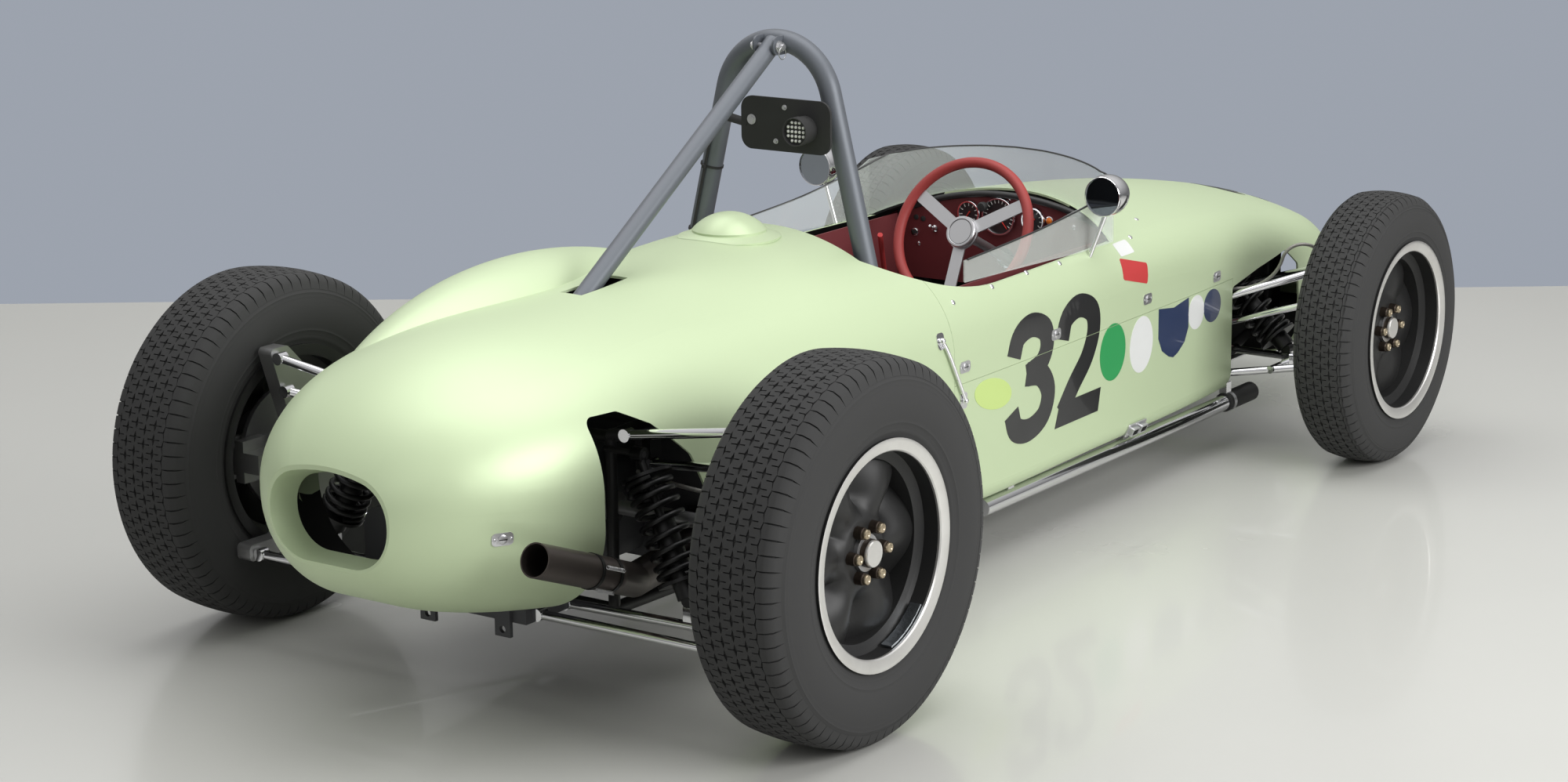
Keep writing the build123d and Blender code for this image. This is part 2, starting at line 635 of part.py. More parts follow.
# Front wishbones: two legs from the frame to the ball joints
with BuildPart() as front_wishbones:
    for inner_z, outer_z, boss in ((340, BALL_TOP, 24), (178, BALL_LOW, 24)):
        for leg_x, leg_y in ((WISH_REAR, 215), (WISH_FRONT, 190)):
            start = front(leg_x, -(leg_y + CROSS_R + SEAT + EYE_R), inner_z)
            bar(start, front(0, -KINGPIN_Y, outer_z), LINK_R)
            eye(start, (1, 0, 0), EYE_R, 22, 0)
    # Cross tie and lug for the damper's lower eye
    bar(front(-88, -430, 200), front(72, -430, 200), LINK_R)
    slab(FRONT_X - 6, FRONT_X + 14, -440, -420, 195, DAMPER_FRONT_LOW[2] - EYE_R - SEAT)
    for low, high, bore in ((BALL_TOP - 15, BALL_TOP + 9, 8.3), (BALL_LOW - 10, BALL_LOW + 14, 8.3)):
        with BuildSketch(Plane(origin=front(0, -KINGPIN_Y, low))):
            Circle(16)
        extrude(amount=high - low)
        with BuildSketch(Plane(origin=front(0, -KINGPIN_Y, low - 5))):
            Circle(bore)
        extrude(amount=high - low + 10, mode=Mode.SUBTRACT)
    mirror(about=Plane.XZ)
finish(front_wishbones, "front_wishbones")

# Rear links: upper arm, lower arm and two radius rods a side
with BuildPart() as rear_links:
    outer = -(UPRIGHT_IN - SEAT - EYE_R)
    inner = -(230 + CROSS_R + SEAT + EYE_R)
    link(rear(-100, -300, 522), rear(-108, outer, 560))
    link(rear(30, inner, 432), rear(-95, outer, 492))
    link(rear(-180, -152.3, 183), rear(-185, outer, 186))
    link(rear(-100, -152.3, 183), rear(-100, outer, 190))
    slab(REAR_X - 105, REAR_X - 85, -440, -420, 185, DAMPER_REAR_LOW[2] - EYE_R - SEAT)
    link(rear(HOOP_X - 26, -286, 470), rear(20, outer, 440))
    link(rear(HOOP_X - 26, -255, 215), rear(20, outer, 200))
    mirror(about=Plane.XZ)
finish(rear_links, "rear_links")



def caliper(x, z, half_track, disc, reach, side):
    """A brake caliper astride the disc: reach is +1 ahead of the axle, -1 behind it."""
    inner = x + reach * 84
    outer = x + reach * 150
    start = half_track + disc - DISC_AIR
    end = half_track + disc + DISC_T + DISC_AIR
    slab(inner, outer, side * (start - 22), side * start, z - 42, z + 42)
    slab(x + reach * (DISC_R + DISC_AIR + 2), outer, side * start, side * end, z - 27, z + 27)
    slab(inner, outer, side * end, side * (end + 11), z - 42, z + 42)


# Rear uprights with their brake calipers
with BuildPart() as rear_uprights:
    with BuildSketch(Plane(origin=rear(0, -UPRIGHT_IN, REAR_TYRE_R), x_dir=(1, 0, 0), z_dir=(0, -1, 0))):
        with BuildLine():
            FilletPolyline((-205, -178), (40, -178), (60, 0), (45, 105), (-75, 228), (-125, 228), (-70, 60),
                           (-55, -60), (-120, -145), (-205, -145), radius=10, close=True)
        make_face()
        Circle(22 + SEAT, mode=Mode.SUBTRACT)
    extrude(amount=UPRIGHT_OUT - UPRIGHT_IN)
    caliper(REAR_X, REAR_TYRE_R, REAR_TRACK / 2, DISC_REAR, -1, -1)
    slab(REAR_X - 150, REAR_X - 40, -UPRIGHT_OUT + 14, -REAR_TRACK / 2 - DISC_REAR + DISC_AIR, 330, 370)
    mirror(about=Plane.XZ)
finish(rear_uprights, "rear_uprights")

# Dampers and springs
# Columns: place, top eye, low eye, top eye axis, low eye axis
UNITS = (
    (rear, DAMPER_REAR_TOP, DAMPER_REAR_LOW),
    (front, DAMPER_FRONT_TOP, DAMPER_FRONT_LOW),
)
PERCH_TOP = 38.0
PERCH_LOW = 34.0
PERCH_T = 6.0
with BuildPart() as dampers:
    for place, top, low in UNITS:
        high = Vector(*place(top[0], -top[1], top[2]))
        foot = Vector(*place(low[0], -low[1], low[2]))
        down = (foot - high).normalized()
        reach = (foot - high).length
        eye(high, (0, 1, 0), 14, 24, PIN_R + SEAT)
        bar(high + down * 13, high + down * (reach * 0.5), 8)
        bar(high + down * PERCH_TOP, high + down * (PERCH_TOP + PERCH_T), SPRING_R + SPRING_WIRE)
        bar(high + down * (reach * 0.45), foot - down * 4, 22)
        bar(foot - down * (PERCH_LOW + PERCH_T), foot - down * PERCH_LOW, SPRING_R + SPRING_WIRE)
        eye(foot, (1, 0, 0), EYE_R, 24, 0)
    mirror(about=Plane.XZ)
finish(dampers, "dampers")

with BuildPart() as springs:
    for place, top, low in UNITS:
        high = Vector(*place(top[0], -top[1], top[2]))
        foot = Vector(*place(low[0], -low[1], low[2]))
        down = (foot - high).normalized()
        start = high + down * (PERCH_TOP + PERCH_T + SEAT)
        end = foot - down * (PERCH_LOW + PERCH_T + SEAT)
        with BuildSketch(Plane(origin=start, z_dir=down)):
            Circle(SPRING_R + SPRING_WIRE / 2)
            Circle(SPRING_R - SPRING_WIRE / 2, mode=Mode.SUBTRACT)
        extrude(amount=(end - start).length)
    mirror(about=Plane.XZ)
finish(springs, "springs")

# Steering wheel, on a column that points at the rack
column_dir = Vector(cos(COLUMN_TILT), 0, -sin(COLUMN_TILT))
wheel_centre = Vector(*front(STEER_X, 0, STEER_Z))


def steering_ring(radius, mode=Mode.ADD):
    """The steering wheel's rim as a ring of round section."""
    ring_plane = Plane(origin=wheel_centre, x_dir=(0, 1, 0), z_dir=column_dir)
    with BuildSketch(Plane(origin=wheel_centre + Vector(0, STEER_R, 0), x_dir=(0, 1, 0), z_dir=ring_plane.y_dir)) as ring:
        Circle(radius)
    revolve(ring.sketch, axis=Axis(wheel_centre, column_dir), mode=mode)


with BuildPart() as steering_rim:
    steering_ring(RIM_TUBE_R)
finish(steering_rim, "steering_rim")

SPOKE_W = 30.0
SPOKE_T = 4.0
BOSS_R = 38.0
PINION_TOP = 42.0
with BuildPart() as steering_column:
    hub_plane = Plane(origin=wheel_centre, x_dir=(0, 1, 0), z_dir=column_dir)
    with BuildSketch(hub_plane):
        Circle(BOSS_R)
        for angle in (-90, 30, 150):
            with Locations(Rotation(0, 0, angle) * Location((STEER_R / 2, 0))):
                Rectangle(STEER_R - RIM_TUBE_R, SPOKE_W)
    extrude(amount=SPOKE_T)
    steering_ring(RIM_TUBE_R + SEAT, Mode.SUBTRACT)
    column_run = hypot(RACK_X - STEER_X, STEER_Z - RACK_Z) - PINION_TOP - SEAT
    bar(wheel_centre, wheel_centre + column_dir * column_run, 11)
finish(steering_column, "steering_column")

# Rack housing across the frame, with the pinion tower on the column's axis
rack_centre = Vector(*front(RACK_X, 0, RACK_Z))
RACK_BAR_R = 11.0
RACK_HALF = 160.0
with BuildPart() as rack_housing:
    bar(rack_centre - Vector(0, RACK_HALF, 0), rack_centre + Vector(0, RACK_HALF, 0), 20)
    bar(rack_centre, rack_centre - column_dir * PINION_TOP, 18)
    with BuildSketch(Plane(origin=rack_centre - Vector(0, RACK_HALF + 5, 0), z_dir=(0, 1, 0))):
        Circle(RACK_BAR_R + SEAT)
    extrude(amount=2 * RACK_HALF + 10, mode=Mode.SUBTRACT)
    for side in (-1, 1):
        slab(FRONT_X + WISH_REAR + CROSS_R + SEAT, FRONT_X + RACK_X - 12, side * 120, side * 150, RACK_Z - 16,
             RACK_Z + 8)
finish(rack_housing, "rack_housing")

# Rack bar and track rods, which slide as one
ROD_IN_Y = 238.0
ROD_OUT_Y = 560.0
with BuildPart() as track_rods:
    bar(rack_centre - Vector(0, ROD_IN_Y, 0), rack_centre + Vector(0, ROD_IN_Y, 0), RACK_BAR_R)
    for side in (-1, 1):
        inner = front(RACK_X, side * ROD_IN_Y, RACK_Z)
        outer_end = front(RACK_X, side * ROD_OUT_Y, ARM_Z - 22)
        with Locations(inner):
            Sphere(15)
        bar(inner, outer_end, 8)
        with Locations(outer_end):
            Sphere(12)
finish(track_rods, "track_rods")

# Front knuckles: kingpin post, stub axle, steering arm and caliper
AXLE_R = 15.0
for side, hand in ((-1, "right"), (1, "left")):
    with BuildPart() as knuckle:
        bar(front(0, side * KINGPIN_Y, BALL_LOW + 14 + SEAT), front(0, side * KINGPIN_Y, 255), 10)
        bar(front(0, side * KINGPIN_Y, 250), front(0, side * KINGPIN_Y, 415), 17)
        bar(front(0, side * KINGPIN_Y, 410), front(0, side * KINGPIN_Y, BALL_TOP - 15 - SEAT), 9.5)
        bar(front(0, side * KINGPIN_Y, BALL_LOW - 8), front(0, side * KINGPIN_Y, BALL_TOP + 8), 8)
        bar(front(0, side * KINGPIN_Y, FRONT_TYRE_R), front(0, side * (KINGPIN_Y + 60), FRONT_TYRE_R), AXLE_R)
        bar(front(0, side * KINGPIN_Y, FRONT_TYRE_R), front(0, side * (KINGPIN_Y + 24), FRONT_TYRE_R), 30)
        bar(front(0, side * KINGPIN_Y, ARM_Z), front(RACK_X, side * ROD_OUT_Y, ARM_Z), 8)
        caliper(FRONT_X, FRONT_TYRE_R, FRONT_TRACK / 2, DISC_FRONT, 1, side)
        slab(FRONT_X + 8, FRONT_X + 100, side * (KINGPIN_Y + 2), side * (FRONT_TRACK / 2 + DISC_FRONT - DISC_AIR - 12),
             300, 334)
        with BuildSketch(Plane(origin=front(RACK_X, side * ROD_OUT_Y, ARM_Z - 9))):
            Circle(13)
        extrude(amount=18)
    finish(knuckle, "knuckle_" + hand)

# Wheels. Columns: corner, x of axle, side, track half, tyre radius, tyre half, rim half, web face, cap face
WHEELS = (
    ("rear_right", REAR_X, -1, REAR_TRACK / 2, REAR_TYRE_R, REAR_TYRE_HALF, REAR_RIM_HALF, REAR_WEB, REAR_CAP),
    ("rear_left", REAR_X, 1, REAR_TRACK / 2, REAR_TYRE_R, REAR_TYRE_HALF, REAR_RIM_HALF, REAR_WEB, REAR_CAP),
    ("front_right", FRONT_X, -1, FRONT_TRACK / 2, FRONT_TYRE_R, FRONT_TYRE_HALF, FRONT_RIM_HALF, FRONT_WEB,
     FRONT_CAP),
    ("front_left", FRONT_X, 1, FRONT_TRACK / 2, FRONT_TYRE_R, FRONT_TYRE_HALF, FRONT_RIM_HALF, FRONT_WEB,
     FRONT_CAP),
)


def wheel_plane(x, side, half_track, radius):
    """Local x points outboard along the axle, local y is the radius."""
    return Plane(origin=(x, side * half_track, radius), x_dir=(0, side, 0), z_dir=(side, 0, 0))


WEB_T = 9.0
HUB_BORE = 34.0
PETAL_REAR = 26.0
PETAL_FRONT = 12.0
PETAL_R = 120.0
PETAL_HALF = 29.0
for corner, x, side, half_track, tyre_r, tyre_half, rim_half, web, cap in WHEELS:
    plane = wheel_plane(x, side, half_track, tyre_r)
    spin = Axis(plane.origin, (0, 1, 0))
    face = rim_half - LIP_T - SEAT
    side_r = LIP_R + (tyre_r - LIP_R) * 0.45
    shoulder_r = tyre_r - 15
    shoulder_x = tyre_half - 15
    tread_x = tyre_half - 26
    with BuildPart() as tyre:
        with BuildSketch(plane):
            with BuildLine():
                ThreePointArc((-tread_x, tyre_r - 6), (0, tyre_r), (tread_x, tyre_r - 6))
                Line((tread_x, tyre_r - 6), (shoulder_x, shoulder_r))
                ThreePointArc((shoulder_x, shoulder_r), (tyre_half - 1, side_r), (face, LIP_R + 2))
                Line((face, LIP_R + 2), (face, BEAD_R + SEAT))
                Line((face, BEAD_R + SEAT), (face - 26, BEAD_R + SEAT))
                Line((face - 26, BEAD_R + SEAT), (face - 14, LIP_R + 8))
                Line((face - 14, LIP_R + 8), (tyre_half - 16, side_r))
                Line((tyre_half - 16, side_r), (tread_x - 6, tyre_r - 26))
                Line((tread_x - 6, tyre_r - 26), (-tread_x + 6, tyre_r - 26))
                Line((-tread_x + 6, tyre_r - 26), (-tyre_half + 16, side_r))
                Line((-tyre_half + 16, side_r), (-face + 14, LIP_R + 8))
                Line((-face + 14, LIP_R + 8), (-face + 26, BEAD_R + SEAT))
                Line((-face + 26, BEAD_R + SEAT), (-face, BEAD_R + SEAT))
                Line((-face, BEAD_R + SEAT), (-face, LIP_R + 2))
                ThreePointArc((-face, LIP_R + 2), (1 - tyre_half, side_r), (-shoulder_x, shoulder_r))
                Line((-shoulder_x, shoulder_r), (-tread_x, tyre_r - 6))
            make_face()
        revolve(axis=spin)
    finish(tyre, "tyre_" + corner)

    well = rim_half - 46
    petal = PETAL_FRONT if corner.startswith("front") else PETAL_REAR
    with BuildPart() as rim:
        with BuildSketch(plane):
            with BuildLine():
                Polyline((rim_half, LIP_R), (rim_half - LIP_T, LIP_R), (rim_half - LIP_T, BEAD_R),
                         (rim_half - 36, BEAD_R), (well, WELL_R), (-well, WELL_R), (-rim_half + 36, BEAD_R),
                         (-rim_half + LIP_T, BEAD_R), (-rim_half + LIP_T, LIP_R), (-rim_half, LIP_R),
                         (-rim_half, LIP_R - 8), (-rim_half + 4, BEAD_R - RIM_T),
                         (-rim_half + 38, BEAD_R - RIM_T), (-well + 2, WELL_R - RIM_T),
                         (well - 2, WELL_R - RIM_T), (rim_half - 38, BEAD_R - RIM_T),
                         (rim_half - 4, BEAD_R - RIM_T), (rim_half, LIP_R - 8), close=True)
            make_face()
            with BuildLine():
                Polyline((web, HUB_BORE), (web, 68), (web - petal, 88), (web - petal, WELL_R - 2),
                         (web - petal - WEB_T, WELL_R - 2), (web - petal - WEB_T, 88), (web - WEB_T, 66),
                         (web - WEB_T, HUB_BORE), close=True)
            make_face()
        revolve(axis=spin)
        # Six petals stand out of the web between the nuts
        with BuildSketch(Plane(origin=plane.origin + Vector(0, side * (web - petal - 4), 0), x_dir=(1, 0, 0),
                               z_dir=(0, side, 0))):
            with PolarLocations(PETAL_R, NUTS, start_angle=30):
                Circle(PETAL_HALF)
        extrude(amount=petal + 3, taper=14)
        with BuildSketch(Plane(origin=plane.origin, x_dir=(1, 0, 0), z_dir=(0, side, 0))):
            with PolarLocations(NUT_PCD / 2, NUTS):
                Circle(6.5)
        extrude(amount=web + 20, mode=Mode.SUBTRACT)
    finish(rim, "rim_" + corner)

    back = web - WEB_T - SEAT
    disc = DISC_FRONT if corner.startswith("front") else DISC_REAR
    with BuildPart() as hub:
        with BuildSketch(plane):
            with BuildLine():
                Polyline((cap, 0), (cap, 24), (web + 8, 25), (web + 8, HUB_BORE - SEAT), (back - 10, HUB_BORE - SEAT),
                         (back - 10, 0), close=True)
            make_face()
            with BuildLine():
                Polyline((back, 0), (back, 60), (back - 10, 60), (disc + DISC_T, 64), (disc + DISC_T, DISC_R),
                         (disc, DISC_R), (disc, 56), (back - 14, 50), (back - 14, 0), close=True)
            make_face()
        revolve(axis=spin)
        stud_plane = Plane(origin=plane.origin + Vector(0, side * back, 0), x_dir=(1, 0, 0), z_dir=(0, side, 0))
        with BuildSketch(stud_plane):
            with PolarLocations(NUT_PCD / 2, NUTS):
                Circle(6.2)
        extrude(amount=WEB_T + SEAT + 14)
        nut_plane = Plane(origin=plane.origin + Vector(0, side * (web + SEAT), 0), x_dir=(1, 0, 0),
                          z_dir=(0, side, 0))
        with BuildSketch(nut_plane):
            with PolarLocations(NUT_PCD / 2, NUTS):
                RegularPolygon(10.5, 6)
        extrude(amount=11)
        if corner.startswith("rear"):
            centre = plane.origin
            inner = Vector(x, side * (135 + SEAT), tyre_r)
            bar(centre + Vector(0, side * (back - 10), 0), Vector(x, side * (UPRIGHT_IN - 10), tyre_r), 22)
            bar(Vector(x, side * (UPRIGHT_IN - 10), tyre_r), inner, 14)
            bar(inner, inner + Vector(0, side * 60, 0), 28)
            bar(Vector(x, side * 470, tyre_r), Vector(x, side * (UPRIGHT_IN - 10), tyre_r), 26)
        else:
            # The hub turns on the stub axle
            bar(plane.origin + Vector(0, side * (disc + 4), 0), plane.origin + Vector(0, side * back, 0), 32)
            with BuildSketch(Plane(origin=plane.origin + Vector(0, -side * 60, 0), z_dir=(0, side, 0))):
                Circle(AXLE_R + SEAT)
            extrude(amount=60 - 11, mode=Mode.SUBTRACT)
    finish(hub, "hub_" + corner)

# Brake hoses: the rear ones end on the uprights, the front ones loop over and end on the upper arms
HOSE_R = 4.0
post_x = WISH_REAR + CROSS_R + HOSE_R + SEAT
with BuildPart() as brake_hoses:
    with BuildLine() as rear_run:
        ThreePointArc(rear(-10, -246 - HOSE_R, 427), rear(-12, -400, 411), rear(-50, -UPRIGHT_IN + 9, 430))
    with BuildSketch(Plane(origin=rear(-10, -246 - HOSE_R, 427), z_dir=rear_run.line % 0)) as rear_end:
        Circle(HOSE_R)
    sweep(rear_end.sketch, path=rear_run.line)
    bar(rear(-50, -UPRIGHT_IN + SEAT, 430), rear(-50, -UPRIGHT_IN + 17, 430), 6)
    with BuildLine() as front_run:
        lead = Line(front(post_x, -215, 385), front(-100, -350, 391))
        rise = TangentArc(lead @ 1, front(-85, -455, 472), tangent=lead % 1)
        TangentArc(rise @ 1, front(-32, -520, 439), tangent=rise % 1)
    with BuildSketch(Plane(origin=lead @ 0, z_dir=lead % 0)) as front_end:
        Circle(HOSE_R)
    sweep(front_end.sketch, path=front_run.line)
    bar(front(WISH_REAR, -(215 + CROSS_R + SEAT + EYE_R), 340), front(0, -KINGPIN_Y, BALL_TOP), LINK_R + SEAT,
        mode=Mode.SUBTRACT)
    mirror(about=Plane.XZ)
finish(brake_hoses, "brake_hoses")
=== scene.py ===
from math import cos, pi, radians, sin

import bmesh
import bpy
from mathutils import Matrix, Vector
from mathutils.bvhtree import BVHTree


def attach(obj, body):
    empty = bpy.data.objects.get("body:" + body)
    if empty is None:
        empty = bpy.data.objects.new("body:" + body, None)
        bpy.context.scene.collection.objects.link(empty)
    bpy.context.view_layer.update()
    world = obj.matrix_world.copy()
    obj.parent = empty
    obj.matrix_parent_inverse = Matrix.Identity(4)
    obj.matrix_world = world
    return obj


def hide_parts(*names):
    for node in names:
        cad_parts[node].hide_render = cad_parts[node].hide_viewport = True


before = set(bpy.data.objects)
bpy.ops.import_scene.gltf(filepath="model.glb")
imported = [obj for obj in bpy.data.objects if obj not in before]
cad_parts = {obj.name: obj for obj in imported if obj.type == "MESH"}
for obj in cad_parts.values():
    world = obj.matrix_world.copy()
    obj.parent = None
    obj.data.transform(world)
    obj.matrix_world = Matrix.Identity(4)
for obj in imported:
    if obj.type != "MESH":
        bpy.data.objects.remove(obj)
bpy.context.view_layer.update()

bl_info = {
    "name": "Open wheel racing car",
    "version": (1, 0, 0),
    "blender": (4, 5, 0),
    "location": "View3D > Sidebar > Racing car",
    "description": "Dresses the packed racing car with treads, wheels, springs, controls and paint",
    "category": "Object",
}

# Frame: metres, +X forward, +Y to the car's left, ground at Z = 0. Sizes are in metres, but places from an
# axle and turned profiles are in millimetres
REAR_X = -1.215
FRONT_X = 1.071
UP = Vector((0, 0, 1))
BACK = Vector((-1, 0, 0))
ORIGIN = Vector((0, 0, 0))
SIDES = (-1, 1)
# How far out, in millimetres, a line starts that looks for the car's side
BESIDE = 700


def rear(x, y, z):
    """A point measured from the rear axle, in millimetres."""
    return Vector((REAR_X + x / 1000, y / 1000, z / 1000))


def front(x, y, z):
    """A point measured from the front axle, in millimetres."""
    return Vector((FRONT_X + x / 1000, y / 1000, z / 1000))


def metres(pairs):
    """Pairs of millimetres as metres."""
    return [(a / 1000, b / 1000) for a, b in pairs]


def side_name(side):
    return "right" if side < 0 else "left"


# Settings that a user would change

def colour_setting(name, text, value):
    return bpy.props.FloatVectorProperty(
        name=name, description=text, subtype="COLOR", size=3, default=value, min=0, max=1)


def length_setting(name, text, value, low, high):
    return bpy.props.FloatProperty(
        name=name, description=text, default=value, min=low, max=high, unit="LENGTH")


class CarColours(bpy.types.PropertyGroup):
    body: colour_setting("Body paint", "Colour of the painted skin", (0.51, 0.70, 0.205))
    trim: colour_setting("Cockpit trim", "Colour of the dashboard and the cockpit's sides",
                         (0.205, 0.052, 0.052))
    grip: colour_setting("Steering wheel grip", "Colour of the leather on the rim", (0.42, 0.016, 0.016))
    hoop: colour_setting("Roll hoop", "Colour of the hoop and its stay", (0.095, 0.11, 0.135))
    backdrop: colour_setting("Backdrop", "Colour behind the car", (0.335, 0.365, 0.42))
    floor: colour_setting("Floor", "Colour of the studio floor", (0.56, 0.56, 0.53))


class CarSizes(bpy.types.PropertyGroup):
    pitches: bpy.props.IntProperty(
        name="Tread pitches", description="Tread blocks around a rear tyre", default=80, min=40, max=120)
    tread: length_setting("Tread depth", "Depth of the grooves", 0.0045, 0.001, 0.01)
    groove: length_setting("Groove width", "Width of the cuts between blocks", 0.0022, 0.0005, 0.006)
    petal: length_setting("Wheel wave", "How far the wheel's lobes stand out", 0.021, 0, 0.03)
    spring_wire: length_setting("Spring wire", "Radius of the springs' wire", 0.0058, 0.002, 0.01)


def colours():
    return bpy.context.scene.car_colours


def sizes():
    return bpy.context.scene.car_sizes


# Shaders

def group_tree(name, inputs, outputs):
    """A shader node group with named sockets."""
    tree = bpy.data.node_groups.new(name, "ShaderNodeTree")
    for label, kind, value in inputs:
        socket = tree.interface.new_socket(label, in_out="INPUT", socket_type=kind)
        if value is not None:
            socket.default_value = value
    for label, kind in outputs:
        tree.interface.new_socket(label, in_out="OUTPUT", socket_type=kind)
    return tree


def node(tree, kind, links=None, **values):
    """Adds a node; values set properties, links maps an input name to a socket or a plain value."""
    made = tree.nodes.new(kind)
    for key, value in values.items():
        setattr(made, key, value)
    for key, value in (links or {}).items():
        if isinstance(value, bpy.types.NodeSocket):
            tree.links.new(value, made.inputs[key])
        else:
            made.inputs[key].default_value = value
    return made


def surface_group():
    """Patches of dust or fading over a finish, and its fine grain."""
    found = bpy.data.node_groups.get("surface_wear")
    if found:
        return found
    colour = "NodeSocketColor"
    number = "NodeSocketFloat"
    tree = group_tree("surface_wear", [
        ("Vector", "NodeSocketVector", None), ("Clean", colour, (0.5, 0.5, 0.5, 1)),
        ("Dusty", colour, (0.4, 0.4, 0.4, 1)), ("Patch Scale", number, 6.0), ("Patch Amount", number, 0.2),
        ("Roughness", number, 0.4), ("Roughness Spread", number, 0.1), ("Grain Scale", number, 400.0)],
        [("Colour", colour), ("Roughness", number), ("Height", number)])
    given = node(tree, "NodeGroupInput")
    out = node(tree, "NodeGroupOutput")
    patches = node(tree, "ShaderNodeTexNoise", {"Vector": given.outputs["Vector"],
                   "Scale": given.outputs["Patch Scale"], "Detail": 5.0, "Roughness": 0.6})
    spread = node(tree, "ShaderNodeMapRange", {"Value": patches.outputs["Fac"], "From Min": 0.35,
                  "From Max": 0.72, "To Min": 0.0, "To Max": given.outputs["Patch Amount"]})
    blend = node(tree, "ShaderNodeMix", {"Factor": spread.outputs["Result"]}, data_type="RGBA")
    tree.links.new(given.outputs["Clean"], blend.inputs["A"])
    tree.links.new(given.outputs["Dusty"], blend.inputs["B"])
    shift = node(tree, "ShaderNodeMath", {0: patches.outputs["Fac"], 1: 0.5}, operation="SUBTRACT")
    rough = node(tree, "ShaderNodeMath", {0: shift.outputs[0], 1: given.outputs["Roughness Spread"],
                 2: given.outputs["Roughness"]}, operation="MULTIPLY_ADD", use_clamp=True)
    grain = node(tree, "ShaderNodeTexNoise", {"Vector": given.outputs["Vector"],
                 "Scale": given.outputs["Grain Scale"], "Detail": 2.0})
    tree.links.new(blend.outputs["Result"], out.inputs["Colour"])
    tree.links.new(rough.outputs[0], out.inputs["Roughness"])
    tree.links.new(grain.outputs["Fac"], out.inputs["Height"])
    return tree


